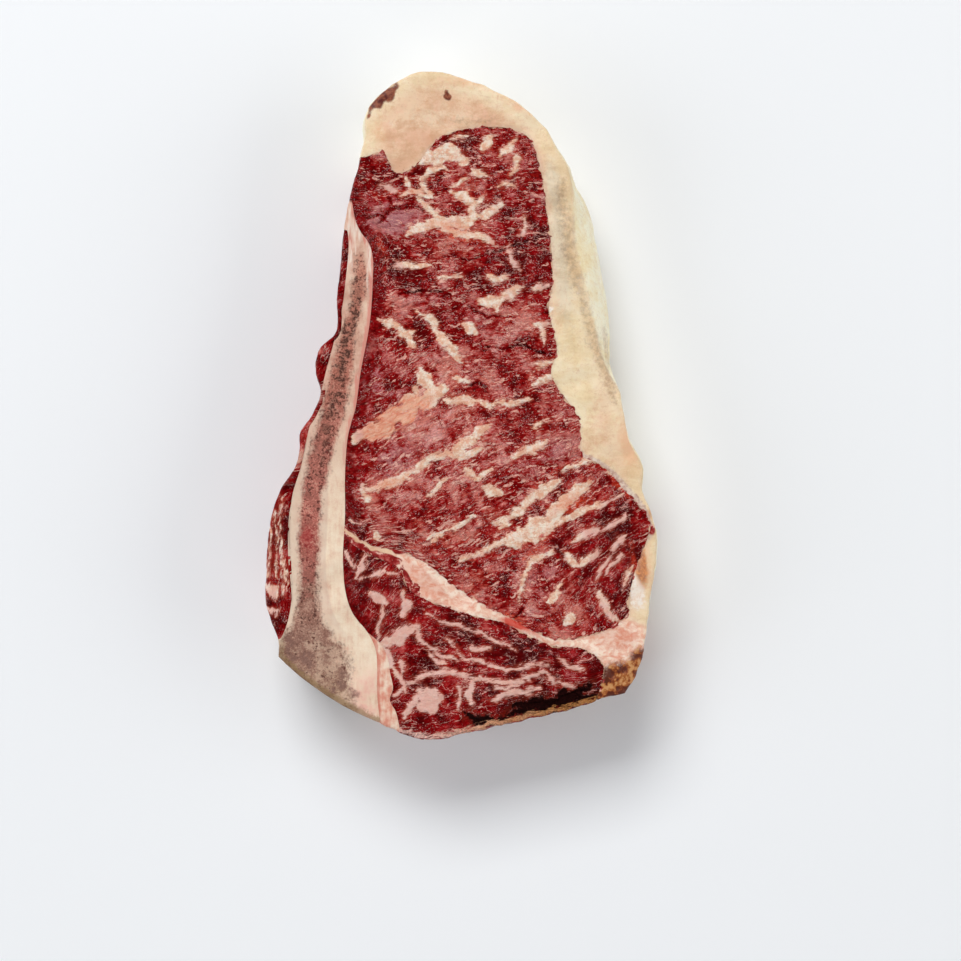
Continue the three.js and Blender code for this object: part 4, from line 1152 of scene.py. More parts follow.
def fat_fields(points):
    """The fat's tints at each point, and how much it belongs to the outer skin of the side."""
    x, y = drift(*points.T)
    gap = nearest(points[:, :2], RIM_LINE[::3])[1]
    strand = streak_field(x, y, SEAM_STRANDS)
    return dict(
        peach=patches(x, y, PEACH), grey=patches(x, y, GREY), gold=patches(x, y, GOLD),
        white=patches(x, y, WHITE), cream=patches(x, y, CREAM), blush=patches(x, y, FAT_BLUSH),
        smudge=streak_field(x, y, SMUDGES), scab=streak_field(x, y, SCABS),
        seam=ease(64, 55, x + 0.4 * (y + 70)) * ease(-44, -47, y + 0.35 * np.abs(x + 14)),
        skin=patches(x, y, GREY_SKIN), amber=patches(x, y, AMBER),
        flesh=np.maximum(
            np.where((x < -13) & (y < -30), 0.1 - strand - ease(-19, -14, x) * 3, -3),
            patches(x, y, FAT_FLESH) - 0.8,
        ),
        outer=ease(0.3, 2.6, THICKNESS - points[:, 2] - 0.5) * (gap < 11),
        rim=np.minimum(gap, 12) * (points[:, 2] > 30),
        lean_edge=gap_to(points, FAT_LINES),
    )


fat_piece = built("fat", SIDES["fat"], fat_relief, "fat_cap", fat_fields)

# %% [markdown]
# ## The bone and its gristle
#
# A sawn bone shows two hard, smooth walls and a spongy middle between them. The middle is found from
# its two drawn lines: the field is the distance inside them. It lies lower than the walls and is
# pitted, most of all in its upper half. A band of gristle ties the bone to the lower muscle.

# %% Bone and gristle pieces
RED_MARROW = [
    (-48.6, -44, 3.5, 8, 4, 0.7), (-49.4, -42.5, 1.8, 2.6, 0, 0.9), (-37, 40, 2, 8, 6, 0.4),
    (-43, -10, 3, 16, 0, 0.3),
]
MEMBRANE = [(-34, 58, 3, 11, -12, 1.4), (-29.4, 46, 1.3, 9, 0, 0.9), (-36, 48, 1.6, 8, 0, 0.5)]
PITS = [(-37.4, 17, 2.3, 19, -8, 1.0), (-43, -8, 2.6, 11, -10, 0.8), (-33.4, 27, 1.4, 8, -5, 0.6)]


def sponge_field(x, y):
    """Distance inside the sponge: to the right of its left line and to the left of its right line,
    told by comparing each point with the nearest point of the line at its own height."""
    right = np.interp(y, SPONGE_RIGHT[::-1, 1], SPONGE_RIGHT[::-1, 0])
    left = np.interp(y, SPONGE_LEFT[::-1, 1], SPONGE_LEFT[::-1, 0])
    inside = np.minimum(right - x, x - left)
    return np.minimum(inside, 49 - y) + 0.9 * noise(x / 2.4, y / 3.4, 6.2, 3)


def bone_relief(x, y, edge, rim):
    """The sponge lies a little low and is rough. The walls are smooth and a little proud."""
    inside = ease(-0.5, 1.0, sponge_field(x, y))
    pits = np.clip(noise(x / 0.9, y / 0.9, 4.4, 2), 0, 1) * (0.4 + np.clip(patches(x, y, PITS), 0, 1))
    return -0.35 * inside - 0.5 * inside * pits + 0.1 * noise(x / 5, y / 9, 1.1) * (1 - inside)


def bone_fields(points):
    """The sponge, its pits and red places, the pink skin, and the distances to the bone's borders."""
    x, y = drift(*points.T)
    return dict(
        sponge=sponge_field(x, y), red=patches(x, y, RED_MARROW), film=patches(x, y, MEMBRANE),
        pits=patches(x, y, PITS), right=gap_to(points, BONE_RIGHT[::2]), rim=gap_to(points, RIM_LINE[::2]),
    )


bone_piece = built("sawn_bone", SIDES["bone"], bone_relief, "bone", bone_fields)


def gristle_relief(x, y, edge, rim):
    """Nearly smooth, with faint cords along the band."""
    return 0.18 * noise(x / 1.1, y / 7, 3.0, 2) - 0.04 * np.exp(-((edge / 0.6) ** 2))


def gristle_fields(points):
    """The distance to the bone."""
    return dict(bone_edge=gap_to(points, BONE_RIGHT[::2]))


gristle_piece = built(
    "gristle", SIDES["band"], gristle_relief, "gristle_band", gristle_fields,
)

# %% [markdown]
# ## Shader arithmetic
#
# A material here is a sum of masks, and as bare nodes that is hard to read. So a small class wraps an
# output socket and turns arithmetic on it into Math nodes, and one method makes every other node.

# %% The signal and paint classes
def rgb(red, green, blue):
    """A screen colour of 0 to 255 as the linear colour that a socket takes."""
    channels = [c / 255 for c in (red, green, blue)]
    return (*(c / 12.92 if c <= 0.04045 else ((c + 0.055) / 1.055) ** 2.4 for c in channels), 1.0)


class Signal:
    """An output socket. Arithmetic on it adds Math nodes."""

    def __init__(self, paint, socket):
        self.paint = paint
        self.socket = socket

    def math(self, operation, *values):
        """A Math node over some values, each a signal or a number."""
        return self.paint.node("Math", {"operation": operation}, dict(enumerate(values)))

    def __add__(self, other):
        return self.math("ADD", self, other)

    def __radd__(self, other):
        return self.math("ADD", other, self)

    def __sub__(self, other):
        return self.math("SUBTRACT", self, other)

    def __rsub__(self, other):
        return self.math("SUBTRACT", other, self)

    def __mul__(self, other):
        return self.math("MULTIPLY", self, other)

    def __rmul__(self, other):
        return self.math("MULTIPLY", other, self)

    def __abs__(self):
        return self.math("ABSOLUTE", self)

    def most(self, other):
        """The larger of the two."""
        return self.math("MAXIMUM", self, other)

    def ramp(self, low, high):
        """Smooth step from 0 at low to 1 at high. With low above high it falls."""
        sockets = {"Value": self, "From Min": low, "From Max": high}
        return self.paint.node("MapRange", {"interpolation_type": "SMOOTHSTEP"}, sockets)


class Paint:
    """One material, built on a Principled shader."""

    def __init__(self, name, **constants):
        self.material = bpy.data.materials.new(name)
        self.material.use_nodes = True
        self.tree = self.material.node_tree
        self.shader = self.tree.nodes["Principled BSDF"]
        for socket, value in constants.items():
            self.shader.inputs[socket.replace("_", " ")].default_value = value
        here = self.node("TexCoord", out="Object")
        self.place = self.node("VectorMath", {"operation": "SCALE"}, {0: here, "Scale": 1000.0})

    def node(self, kind, settings=None, sockets=None, out=0):
        """Make a node: its settings first, then a value or a link for each socket named."""
        made = self.tree.nodes.new("ShaderNode" + kind)
        for name, value in (settings or {}).items():
            setattr(made, name, value)
        for name, value in (sockets or {}).items():
            if isinstance(value, Signal):
                self.tree.links.new(value.socket, made.inputs[name])
            else:
                made.inputs[name].default_value = value
        return Signal(self, made.outputs[out])

    def field(self, name, out="Fac"):
        """A number stored on the mesh."""
        return self.node("Attribute", {"attribute_name": name}, out=out)

    def stretched(self, vector, x, y, z):
        """The vector with each axis divided by a size in millimetres."""
        return self.node("VectorMath", {"operation": "MULTIPLY"}, {0: vector, 1: (1 / x, 1 / y, 1 / z)})

    def noise(self, size, detail=3.0, rough=0.55, vector=None, out=0):
        """Noise around 0.5, with lumps of a size in millimetres."""
        sockets = {"Scale": 1 / size, "Detail": detail, "Roughness": rough}
        return self.node("TexNoise", {}, {"Vector": vector or self.place, **sockets}, out=out)

    def bent(self, vector, size, amount):
        """The vector moved by up to an amount in a direction that noise of a size gives."""
        way = self.noise(size, 2, 0.5, out=1)
        middle = (-amount / 2,) * 3
        moved = self.node("VectorMath", {"operation": "MULTIPLY_ADD"}, {0: way, 1: (amount,) * 3, 2: middle})
        return self.node("VectorMath", {"operation": "ADD"}, {0: vector, 1: moved})

    def veins(self, size, width, vector=None, detail=3.0):
        """Thin winding lines, 1 on them: where noise of a size passes through its middle value."""
        return abs(self.noise(size, detail, 0.6, vector) - 0.5).ramp(width, width * 0.3)

    def mix(self, factor, base, over):
        """The base colour, and over it the other one where the factor is 1."""
        return self.node("Mix", {"data_type": "RGBA"}, {0: factor, 6: base, 7: over}, out=2)

    def scaled(self, colour, by):
        """The colour made darker or lighter by a number."""
        return self.node("VectorMath", {"operation": "SCALE"}, {0: colour, "Scale": by})

    def palette(self, value, *stops):
        """Colours between stops, each a place on the value's scale and a screen colour."""
        places = [place for place, _ in stops]
        scaled = (value - places[0]) * (1 / (places[-1] - places[0]))
        colour = self.node("ValToRGB", {}, {"Fac": scaled})
        band = colour.socket.node.color_ramp
        band.elements.remove(band.elements[1])
        band.elements[0].color = rgb(*stops[0][1])
        for place, tint in stops[1:]:
            band.elements.new((place - places[0]) / (places[-1] - places[0])).color = rgb(*tint)
        return colour

    def bump(self, height, strength, depth, normal=None):
        """A normal bent by a height, with a depth in millimetres."""
        sockets = {"Height": height, "Strength": strength, "Distance": depth / 1000}
        if normal:
            sockets["Normal"] = normal
        return self.node("Bump", {}, sockets)

    def finish(self, **sockets):
        """Feed the shader's own sockets."""
        for name, value in sockets.items():
            self.tree.links.new(value.socket, self.shader.inputs[name.replace("_", " ")])
        return self.material


FRAY = 3.6  # mm of wandering for each unit of noise, on the border of lean and fat
WALL_FRAY = 26.0  # the same below the cut face, where the border would else run straight down


def below_face(paint):
    """0 on the cut face, rising to 1 down the walls."""
    return paint.node("SeparateXYZ", {}, {"Vector": paint.place}, out=2).ramp(THICKNESS - 3, THICKNESS - 14)


def frayed(paint):
    """The wandering of the border between lean and fat, the same in both materials."""
    slow = (paint.noise(9, 2, 0.5) - 0.5) * below_face(paint) * WALL_FRAY
    return (paint.noise(2.4, 3, 0.5) - 0.5) * FRAY + slow


# %% [markdown]
# ## The lean's finish
#
# Raw lean is a deep, see-through red. On an open cut the bundles' tops dry to a dusty rose and the
# grooves stay wet, and the grooves are painted darker as the shade in them, so tone, groove and fibres
# give one level, and a palette turns the level into colour. Then come a painted purple-grey sheen, the
# blushes of bright red, thin pale membranes, thin dark lines painted as the shade of narrow crevices,
# fine pale specks that are partly fat and partly painted glints, fine flecks of fat in the grain, and
# the main streaks with a pink rim where thin fat lets the red through. A fine pebbly pattern paints
# light and shade over the colour. Last come the frayed border with the fat, the dark strip beside the
# bone, the black dried edge, and pale specks painted as the small wet highlights.

# %% The lean's level and its colour
# Sizes of the lean's patterns in mm: along the grain, across it, and down
FIBRE, THREAD, PEBBLE = (3.4, 0.9, 2.6), (1.8, 0.34, 1.0), (0.8, 0.38, 0.7)
FLECK, DOT, STREAK_EDGE = (3.4, 0.95, 3.0), (1.15, 0.5, 1.0), (3.2, 0.9, 2.4)
FILM, CREVICE_SHADE = (7.0, 2.6, 6.0), (6.2, 3.4, 5.0)
lean = Paint(
    "raw lean", Subsurface_Weight=0.1, Subsurface_Radius=(1.0, 0.2, 0.1), Subsurface_Scale=0.0014,
    Coat_Roughness=0.1, IOR=1.4,
    Specular_IOR_Level=0.16, Specular_Tint=(1.0, 0.22, 0.2, 1.0),
)
grain = lean.field("grain", "Vector")
winding = lean.bent(grain, 3.4, 2.0)
fibres = lean.noise(1.0, 4, 0.6, lean.stretched(winding, *FIBRE))
threads = lean.noise(1.0, 3, 0.6, lean.stretched(winding, *THREAD))
blotch = lean.noise(4.6, 3, 0.55)
regions = lean.noise(11, 2, 0.5)
speckle = lean.noise(0.5, 2, 0.6)
tone = lean.field("tone")
calm = 1 - lean.field("plain").ramp(0.0, 1.4) * 0.45
level = 0.50 + tone * 0.12 + (blotch - 0.5) * 1.3 + (regions - 0.5) * 1.3 + (fibres - 0.5) * calm * 0.8
# Painted shade: the level, and so the red, is lower in the grooves between bundles
level = level + (threads - 0.5) * calm * 0.6 + (speckle - 0.5) * 0.2 - lean.field("groove") * 0.17
RED = (
    (0.06, (84, 0, 2)), (0.24, (116, 0, 3)), (0.4, (144, 8, 9)), (0.52, (168, 60, 56)),
    (0.64, (192, 104, 98)),
    (0.8, (216, 152, 145)),
)
colour = lean.palette(level, *RED)
ripe = (regions + (fibres - 0.5) * 0.5).ramp(0.52, 0.64) * 0.55
brown_red = lean.palette(level, (0.25, (112, 6, 4)), (0.5, (160, 36, 20)), (0.72, (192, 84, 60)))
colour = lean.mix(ripe, colour, brown_red)
deep_red = lean.palette(
    level, (0.0, (74, 0, 2)), (0.2, (118, 0, 4)), (0.36, (142, 4, 10)), (0.52, (160, 18, 24)),
    (0.7, (190, 78, 76)),
)
colour = lean.mix(tone.ramp(-0.4, -1.6) * 0.9, colour, deep_red)
# Painted sheen: the paler tones turn purple-grey where the wet lean would reflect the light
cool = lean.field("cool") * level.ramp(0.4, 0.62) * 0.6
colour = lean.mix(cool, colour, rgb(168, 112, 122))
blush = (lean.field("blush") + (blotch - 0.5) * 2.0).ramp(0.25, 1.2) * 0.85
colour = lean.mix(blush, colour, lean.palette(fibres, (0.38, (160, 18, 10)), (0.62, (216, 76, 46))))
wide_veins = lean.veins(1.0, 0.016, lean.stretched(winding, *FILM))
film = wide_veins * lean.noise(8, 2).ramp(0.48, 0.56) * 0.8
colour = lean.mix(film, colour, rgb(214, 160, 148))
# Painted shade: thin near-black red lines, as the shade in narrow crevices between the bundles
crevice_shade = lean.veins(1.0, 0.010, lean.stretched(winding, *CREVICE_SHADE))
crevice_shade = crevice_shade * lean.noise(7, 2, 0.5).ramp(0.5, 0.42)
colour = lean.mix(crevice_shade * 0.7, colour, rgb(84, 2, 4))
pebble = lean.noise(1.0, 3, 0.7, lean.stretched(winding, *PEBBLE))

# %% The lean's flecks, streaks and borders
streak_place = lean.field("streak")
rich = (lean.noise(12, 2) - 0.5) * 0.16 + streak_place.ramp(-4.5, -0.5) * 0.014 + tone * 0.008
rich = rich - lean.field("plain") * 0.042
near_bone = (lean.field("bone_edge") + (blotch - 0.5) * 9).ramp(5.7, 1.9)
grains = lean.noise(1.0, 3, 0.6, lean.stretched(winding, *FLECK)) + rich - near_bone * 0.04
fleck = grains.ramp(0.596, 0.626)
# Tiny pale specks, partly fat and partly painted glints of the wet surface
specks_and_glints = (lean.noise(1.0, 2, 0.5, lean.stretched(winding, *DOT)) + rich * 0.5).ramp(0.645, 0.68)
along = lean.noise(1.0, 3, 0.6, lean.stretched(grain, *STREAK_EDGE))
streak = streak_place + (along - 0.5) * 2.4 + (threads - 0.5) * 1.6 + (pebble - 0.5) * 1.0
halo = streak.ramp(-1.3, 0.0) * 0.45
colour = lean.mix(halo, colour, rgb(196, 88, 68))
# Painted light and shade: a fine pebbly pattern makes the colour darker and lighter, as fine lumps would be
# shaded and lit
colour = lean.scaled(colour, 1 + (pebble - 0.5) * calm * 2.0)
white_fat = lean.palette(
    lean.noise(2.0, 3) + (speckle - 0.5) * 0.3, (0.38, (232, 178, 150)), (0.5, (242, 208, 184)),
    (0.62, (250, 232, 216)),
)
rosy_fat = lean.palette(fibres + (speckle - 0.5) * 0.3, (0.36, (228, 138, 110)), (0.6, (240, 186, 158)))
pale = lean.mix(lean.field("rosy").ramp(0.2, 0.9), white_fat, rosy_fat)
pale = lean.mix(tone.ramp(-0.8, -1.8) * 0.75, pale, rgb(236, 184, 174))
# The same painted light and shade, weaker, on the fat in the streaks
pale = lean.scaled(pale, 1 + (pebble - 0.5) * 0.35)
# The tiny specks laid on: partly fat, partly painted glints
colour = lean.mix(specks_and_glints * 0.7, colour, rgb(224, 164, 152))
strand = lean.veins(1.0, 0.012, lean.stretched(winding, *FILM)) * tone.ramp(-1.3, -1.9)
colour = lean.mix(strand * blotch.ramp(0.46, 0.52) * 0.85, colour, rgb(232, 172, 162))
fleck_fat = lean.palette(speckle, (0.4, (216, 146, 132)), (0.6, (240, 196, 180)))
colour = lean.mix(fleck * (0.9 - tone.ramp(-0.8, -1.8) * 0.3), colour, fleck_fat)
inner = streak.ramp(-0.4, 0.4)
colour = lean.mix(inner, colour, pale)
border = (frayed(lean) - lean.field("fat_edge")).ramp(-0.16, 0.12)
colour = lean.mix(border, colour, rgb(228, 190, 162))
bone_red = lean.palette(fibres, (0.38, (84, 0, 2)), (0.62, (142, 6, 12)))
colour = lean.mix(near_bone * 0.85 * (1 - inner), colour, bone_red)
bare = lean.field("bare") + (blotch - 0.5) * 1.5 + (regions - 0.5) * below_face(lean) * 4
bare = (bare + (threads - 0.5) * 2 + (fibres - 0.5) * 2).ramp(0.3, 1.5) * 0.85
colour = lean.mix(bare, colour, lean.palette(blotch, (0.42, (184, 112, 98)), (0.58, (208, 160, 140))))
dry = lean.field("dried") + (lean.noise(1.8, 4, 0.65) - 0.5) * 5.0
colour = lean.mix(dry.ramp(-2.2, -0.2) * 0.55, colour, rgb(96, 36, 22))
black = dry.ramp(-0.8, 0.5)
colour = lean.mix(black, colour, rgb(12, 2, 2))
across = lean.node("SeparateXYZ", {}, {"Vector": lean.place}, out=0)
skirt_tint = lean.palette(
    across + (blotch - 0.5) * 30, (-10, (228, 184, 172)), (8, (206, 152, 118)), (30, (172, 118, 68)),
)
skirt = (lean.field("skirt") + (fibres - 0.5) * 5).ramp(1.2, 0.5) * 0.9
# The skirt's tint also gets the painted fine light and shade, stronger
colour = lean.mix(skirt, colour, lean.scaled(skirt_tint, 1 + (pebble - 0.5) * 3.0))
glint = lean.noise(0.38, 2, 0.6).ramp(0.58, 0.68) * lean.noise(4.0, 3, 0.6).ramp(0.44, 0.54)
colour = lean.mix(glint * calm * (1 - black) * 0.6, colour, rgb(238, 204, 204))
wet = lean.field("wet")
fat_mask = inner.most(fleck)
rough = 0.25 - wet * 0.05 - black * 0.13 + (speckle - 0.5) * 0.2 + fat_mask * 0.18
relief = fibres * 0.8 + threads * 0.8 + speckle * 0.6
skin = lean.bump(relief, 1.0, 0.5)
coat = (wet * 0.6 - 0.2 + (blotch - 0.5) * 1.6).ramp(0.0, 1.0) * (1 - black) * 0.3
lean_material = lean.finish(Base_Color=colour, Roughness=rough, Normal=skin, Coat_Weight=coat)
for piece in lean_pieces:
    piece.data.materials.append(lean_material)

# %% [markdown]
# ## The fat's finish
#
# Beef fat is pinkish beige where it is cut, cream towards the rim and yellow on the outside of the
# animal. Fine speckles, faint veins and the brown smudges of a dried surface keep it from looking like
# wax.

# %% Fat material
fat = Paint(
    "beef fat", Subsurface_Weight=0.16, Subsurface_Radius=(1.0, 0.6, 0.35), Subsurface_Scale=0.0025,
    Coat_Roughness=0.3, IOR=1.44, Specular_IOR_Level=0.35,
)
cloud = fat.noise(13, 4, 0.62)
fine = fat.noise(1.5, 4, 0.68)
grit = fat.noise(0.55, 2, 0.7)
brushed = fat.noise(1.0, 4, 0.66, fat.stretched(fat.bent(fat.place, 14, 9), 5.5, 1.2, 4.0))
patchy = fat.noise(4.0, 3, 0.6)
shade = cloud + (brushed - 0.5) * 0.36 + (grit - 0.5) * 0.24 + (patchy - 0.5) * 0.3
colour = fat.palette(shade, (0.32, (212, 164, 130)), (0.46, (223, 181, 148)), (0.58, (234, 200, 168)))
colour = fat.mix((patchy - cloud * 0.5).ramp(0.27, 0.36) * 0.4, colour, rgb(232, 184, 156))
ragged = (fine - 0.5) * 0.9 + (cloud - 0.5) * 0.6


def stained(base, name, low, high, tint, strength=1.0):
    """Lay a tint over the base where a stored patch, made ragged by noise, passes from low to high."""
    return fat.mix((fat.field(name) + ragged).ramp(low, high) * strength, base, tint)


creamy = fat.palette(shade, (0.32, (228, 202, 160)), (0.46, (238, 216, 178)), (0.6, (244, 226, 194)))
rim_near = (fat.field("rim") + ragged * 5).ramp(6.5, 1.5)
colour = fat.mix(rim_near * 0.85, colour, creamy)
colour = stained(colour, "cream", 0.15, 0.9, creamy)
colour = stained(colour, "peach", 0.15, 1.1, rgb(234, 182, 146), 0.75)
greyish = fat.palette(shade, (0.36, (210, 192, 164)), (0.56, (232, 216, 190)))
colour = stained(colour, "grey", 0.15, 0.9, greyish, 0.9)
yellow = fat.palette(shade, (0.32, (238, 216, 164)), (0.48, (249, 236, 198)), (0.62, (253, 247, 220)))
colour = fat.mix((fat.field("outer") + ragged * 0.6).ramp(0.12, 0.75) * 0.92, colour, yellow)
smudge = (fat.field("smudge") + ragged * 4.5).ramp(-1.8, 1.2)
colour = fat.mix(smudge * 0.5, colour, fat.palette(fine, (0.4, (206, 170, 130)), (0.6, (142, 108, 80))))
colour = fat.mix(fat.veins(4.5, 0.012) * 0.25, colour, rgb(206, 158, 124))
colour = fat.mix((fine + (cloud - 0.5) * 0.5).ramp(0.6, 0.74) * 0.25, colour, rgb(206, 156, 116))
whitish = fat.palette(fine, (0.4, (238, 212, 192)), (0.58, (250, 238, 226)))
colour = stained(colour, "white", 0.3, 0.7, whitish, 0.95)
amber = fat.palette(fine, (0.4, (166, 84, 42)), (0.6, (218, 142, 84)))
colour = stained(colour, "amber", 0.2, 0.9, amber, 0.85)
seam = fat.field("seam")
ridges = fat.noise(1.0, 4, 0.66, fat.stretched(fat.bent(fat.place, 5, 5), 3.0, 2.0, 3.0))
seam_tint = fat.palette(ridges, (0.35, (230, 160, 136)), (0.47, (240, 194, 172)), (0.59, (252, 228, 210)))
colour = fat.mix(seam, colour, seam_tint)
colour = fat.mix(seam * (fat.field("peach") + ragged).ramp(0.2, 0.9) * 0.4, colour, rgb(208, 122, 96))

# %% The fat's crust, scabs, flesh and borders
rusty = (patchy - 0.5) * 1.8 + (fine - 0.5) * 0.8
golden = fat.palette(
    rusty, (-0.13, (92, 36, 18)), (-0.04, (134, 64, 28)), (0.05, (166, 96, 44)), (0.16, (200, 146, 94)),
)
colour = stained(colour, "gold", 0.4, 0.95, golden)
scab = (fat.field("scab") + ragged * 1.6).ramp(-0.5, 0.4)
colour = fat.mix(scab, colour, fat.palette(fine, (0.4, (92, 32, 26)), (0.6, (150, 84, 58))))
meat = fat.palette(fat.noise(3.6, 4, 0.62) + (fine - 0.5) * 1.2 - 0.06, *RED)
meat = fat.mix(ridges.ramp(0.55, 0.6) * 0.85, meat, rgb(234, 184, 168))
flesh = (fat.field("flesh") + ragged * 0.8).ramp(-0.3, 0.2)
wander = frayed(fat)
edge = fat.field("lean_edge")
grey_skin = fat.field("skin").ramp(0.2, 0.8) * fat.field("upper").ramp(0.4, 0.6)
membrane = (edge + (fine - 0.5) * 3 - grey_skin).ramp(1.2, 0.3) * fat.field("gold").ramp(0.6, 0.2)
thin_skin = fat.palette(fine, (0.4, (186, 148, 136)), (0.58, (226, 206, 194)))
colour = fat.mix(membrane * (grey_skin * 0.65 + 0.2), colour, thin_skin)
colour = fat.mix(flesh.most((0 - wander - edge).ramp(-0.12, 0.16)), colour, meat)
colour = fat.mix((fat.field("blush") + ragged).ramp(0.3, 1.0) * 0.9, colour, rgb(206, 58, 40))
skin = fat.bump(grit * 0.3 + fine * 0.5 + brushed * 0.5, 0.45, 0.4)
fat_material = fat.finish(Base_Color=colour, Roughness=0.46 + (fine - 0.5) * 0.4, Normal=skin)
fat_piece.data.materials.append(fat_material)

# %% [markdown]
# ## Bone and gristle finishes
#
# The walls of the bone are cream at the right and tan at the left, with a pink skin along their edge.
# The sponge is a mesh of pale struts round dark marrow pits. Its colour runs from tan at the tip over
# red to grey-brown near the sawn foot, so a palette along the bone's length gives it.

# %% Bone material
bone = Paint(
    "sawn bone", Subsurface_Weight=0.08, Subsurface_Radius=(1.0, 0.5, 0.3), Subsurface_Scale=0.002, IOR=1.5,
    Specular_IOR_Level=0.35,
)
length = bone.node("SeparateXYZ", {}, {"Vector": bone.place}, out=1)
grit = bone.noise(0.42, 2, 0.7)
holes = bone.noise(0.72, 2, 0.62)
patchy = bone.noise(4.5, 3, 0.6)
cluster = bone.noise(2.2, 2, 0.6)
streaky = bone.noise(1.0, 3, 0.6, bone.stretched(bone.place, 1.0, 6.5, 6.5))
mottled = (streaky - 0.5) * 0.3 + (patchy - 0.5) * 0.6 + (grit - 0.5) * 0.2
wall = bone.palette(mottled, (-0.14, (222, 182, 158)), (0.0, (236, 212, 187)), (0.12, (243, 225, 202)))
tan_wall = bone.palette(mottled, (-0.14, (188, 132, 114)), (0.0, (210, 164, 144)), (0.12, (224, 188, 166)))
upper_half = (length + (patchy - 0.5) * 40).ramp(-36, 6)
foot = length.ramp(-66, -80)
left_wall = bone.field("right").ramp(5.2, 5.9)
colour = bone.mix(left_wall * 0.5 * (1 - foot), wall, rgb(212, 184, 166))
colour = bone.mix((upper_half + (streaky - 0.5) * 3 * upper_half) * 0.75, colour, tan_wall)
colour = bone.mix(length.ramp(-80, -94) * (0.4 + (patchy - 0.5) * 4), colour, rgb(232, 182, 164))
inside = bone.field("sponge") * (1 - foot * 0.5) + (holes - 0.5) * 2.4 + (patchy - 0.5) * 6.0 * foot
inside = inside.ramp(-1.2, 1.3)
RUN = (
    (-98, (174, 142, 116)), (-86, (162, 124, 106)), (-74, (162, 120, 104)), (-62, (160, 112, 96)),
    (-53, (178, 106, 94)), (-42, (190, 106, 94)), (-30, (184, 106, 94)), (-12, (184, 110, 96)),
    (12, (186, 112, 94)), (45, (198, 130, 110)),
)
strut = bone.palette(length + (patchy - 0.5) * 40, *RUN)
grain_size = grit * 0.6 + holes * 0.4 + (patchy - 0.5) * 0.5
sponge = bone.mix(grain_size.ramp(0.44, 0.6) * 0.55, strut, rgb(112, 72, 60))
sponge = bone.mix(grain_size.ramp(0.47, 0.36) * 0.4, sponge, rgb(222, 180, 158))
sponge = bone.mix(((patchy - 0.5) * 7 * foot).ramp(0.1, 0.9) * 0.45, sponge, rgb(124, 92, 84))
sponge = bone.mix(((0.5 - patchy) * 7 * foot).ramp(0.1, 0.9) * 0.5, sponge, rgb(206, 174, 152))
pitted = bone.field("pits")
smudge = ((cluster - 0.5) * 4 + pitted).ramp(0.3, 1.2) * 0.72
sponge = bone.mix(smudge, sponge, rgb(124, 80, 66))
deep_pits = (holes + pitted * 0.1 + (cluster - 0.5) * 0.7 - foot * 0.06).ramp(0.6, 0.68)
sponge = bone.mix(deep_pits * 0.85, sponge, bone.palette(grit, (0.4, (38, 14, 12)), (0.6, (92, 54, 42))))
red = (bone.field("red") + (holes - 0.5) * 2.4 + (cluster - 0.5) * 1.5).ramp(0.35, 1.3)
sponge = bone.mix(red * 0.75, sponge, rgb(166, 50, 50))
colour = bone.mix(inside, colour, sponge)
fascia = (bone.field("right") + (streaky - 0.5) * 4).ramp(1.5, 0.5) * length.ramp(-34, 0)
colour = bone.mix(fascia * 0.8, colour, rgb(214, 130, 118))
film = (bone.field("film") + (streaky - 0.5) * 2).ramp(0.3, 1.1)
white_film = bone.palette(streaky, (0.36, (206, 132, 120)), (0.48, (228, 188, 170)), (0.62, (240, 222, 208)))
colour = bone.mix(film * 0.85, colour, white_film)
edge_stain = (bone.field("rim") + (holes - 0.5) * 3).ramp(1.6, 0.3) * length.ramp(-70, -84)
colour = bone.mix(edge_stain * 0.7, colour, rgb(140, 112, 74))
rough = 0.58 + inside * 0.2
skin = bone.bump((grit * 0.8 - deep_pits * 0.8) * inside + streaky * 0.15, 0.7, 0.4)
bone_piece.data.materials.append(bone.finish(Base_Color=colour, Roughness=rough, Normal=skin))

# %% Gristle material
gristle = Paint(
    "gristle", Subsurface_Weight=0.15, Subsurface_Radius=(1.0, 0.6, 0.4), Subsurface_Scale=0.0025, IOR=1.44,
    Specular_IOR_Level=0.35,
)
cords = gristle.noise(1.0, 3, 0.6, gristle.stretched(gristle.place, 1.3, 8.0, 8.0))
mottled = (cords - 0.5) * 0.6 + (gristle.noise(3.2, 3) - 0.5)
colour = gristle.palette(mottled, (-0.16, (240, 214, 194)), (0.0, (230, 184, 162)), (0.14, (218, 146, 126)))
red_line = (gristle.field("bone_edge") + (cords - 0.5) * 6).ramp(1.0, 0.4)
colour = gristle.mix(red_line * 0.6, colour, rgb(204, 104, 86))
skin = gristle.bump(cords, 0.4, 0.3)
gristle_piece.data.materials.append(
    gristle.finish(Base_Color=colour, Roughness=0.42 + cords * 0.1, Normal=skin),
)

# %% [markdown]
# ## Floor, light and camera
#
# The steak is seen from straight above, from a little over half a metre. A large soft lamp stands
# beyond the tail at the left, as a window would, three weaker ones fill the other sides from low down,
# and the sky is dim, so that the wet meat's darks keep their depth.

# %% Floor
FLOOR_HALF = 3.0  # m, half the floor's width
FLOOR_LEVEL = -0.0002  # m, a little lower than the board side, so that the two don't share a plane
mesh = bpy.data.meshes.new("floor")
around = [(-1, -1), (1, -1), (1, 1), (-1, 1)]
mesh.from_pydata([(x * FLOOR_HALF, y * FLOOR_HALF, FLOOR_LEVEL) for x, y in around], [], [(0, 1, 2, 3)])
floor = bpy.data.objects.new("floor", mesh)
bpy.context.scene.collection.objects.link(floor)
floor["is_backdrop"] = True
pale_floor = Paint("pale floor", Base_Color=rgb(245, 248, 252), Roughness=0.6, Specular_IOR_Level=0.1)
floor.data.materials.append(pale_floor.material)

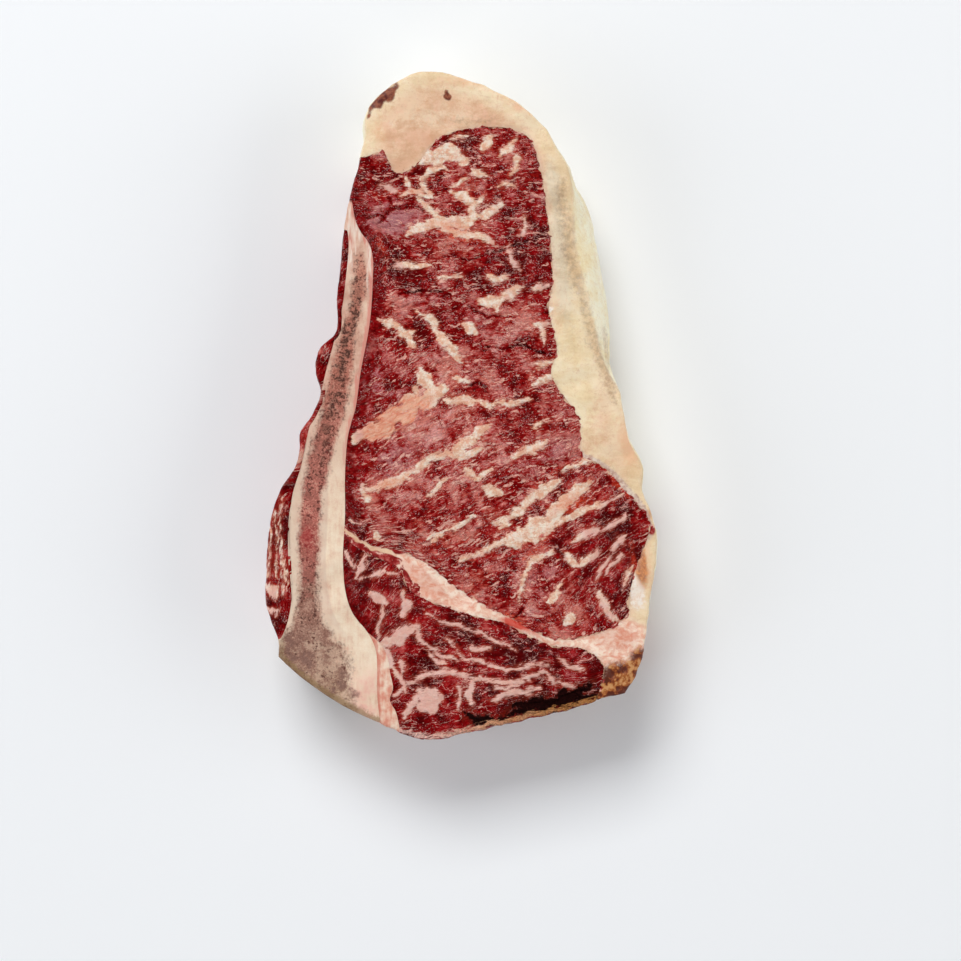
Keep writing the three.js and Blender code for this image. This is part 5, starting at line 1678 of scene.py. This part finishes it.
# %% Light
SKY_COLOUR = (0.94, 0.97, 1.0, 1)
SKY_STRENGTH = 0.13
world = bpy.data.worlds.new("sky")
world.use_nodes = True
sky = world.node_tree.nodes["Background"].inputs
sky["Color"].default_value = SKY_COLOUR
sky["Strength"].default_value = SKY_STRENGTH
bpy.context.scene.world = world


def soft_lamp(name, place, aim, width, height, watts, colour):
    """A rectangular lamp that looks from its place at its aim."""
    data = bpy.data.lights.new(name, "AREA")
    data.shape = "RECTANGLE"
    data.size = width
    data.size_y = height
    data.energy = watts
    data.color = colour
    lamp = bpy.data.objects.new(name, data)
    lamp.location = place
    toward = np.array(aim, float) - np.array(place, float)
    yaw = math.atan2(toward[1], toward[0])
    pitch = math.atan2(math.hypot(toward[0], toward[1]), -toward[2])
    lamp.rotation_euler = (pitch, 0, yaw - math.pi / 2)
    bpy.context.scene.collection.objects.link(lamp)


soft_lamp("window", (-0.5, 1.45, 1.7), (0, 0, 0), 1.2, 0.9, 36.5, (1.0, 0.99, 0.97))
soft_lamp("right fill", (1.6, -0.2, 0.9), (0, 0, 0), 1.6, 1.2, 13.0, (1.0, 0.98, 0.96))
soft_lamp("left fill", (-1.6, -0.4, 0.9), (0, 0, 0), 1.6, 1.2, 12.0, (0.98, 0.99, 1.0))
soft_lamp("front fill", (0.3, -1.7, 1.0), (0, 0, 0), 1.6, 1.2, 5.5, (1.0, 0.98, 0.96))

# %% Camera
AXIS = (6.1, -24.4)  # mm, the place that the photographer's lens stood over
DISTANCE = 560.0  # mm from the lens to the upper face
FRAME_WIDTH = 310.8  # mm of the upper face that the picture is wide
SENSOR = 36.0  # mm
camera = bpy.data.objects.new("camera", bpy.data.cameras.new("camera"))
camera.data.sensor_width = SENSOR
camera.data.lens = SENSOR * DISTANCE / FRAME_WIDTH
camera.data.clip_start = 0.01
camera.location = (AXIS[0] / 1000, AXIS[1] / 1000, (DISTANCE + THICKNESS) / 1000)
bpy.context.scene.collection.objects.link(camera)
bpy.context.scene.camera = camera
bpy.context.scene.view_settings.view_transform = "Standard"
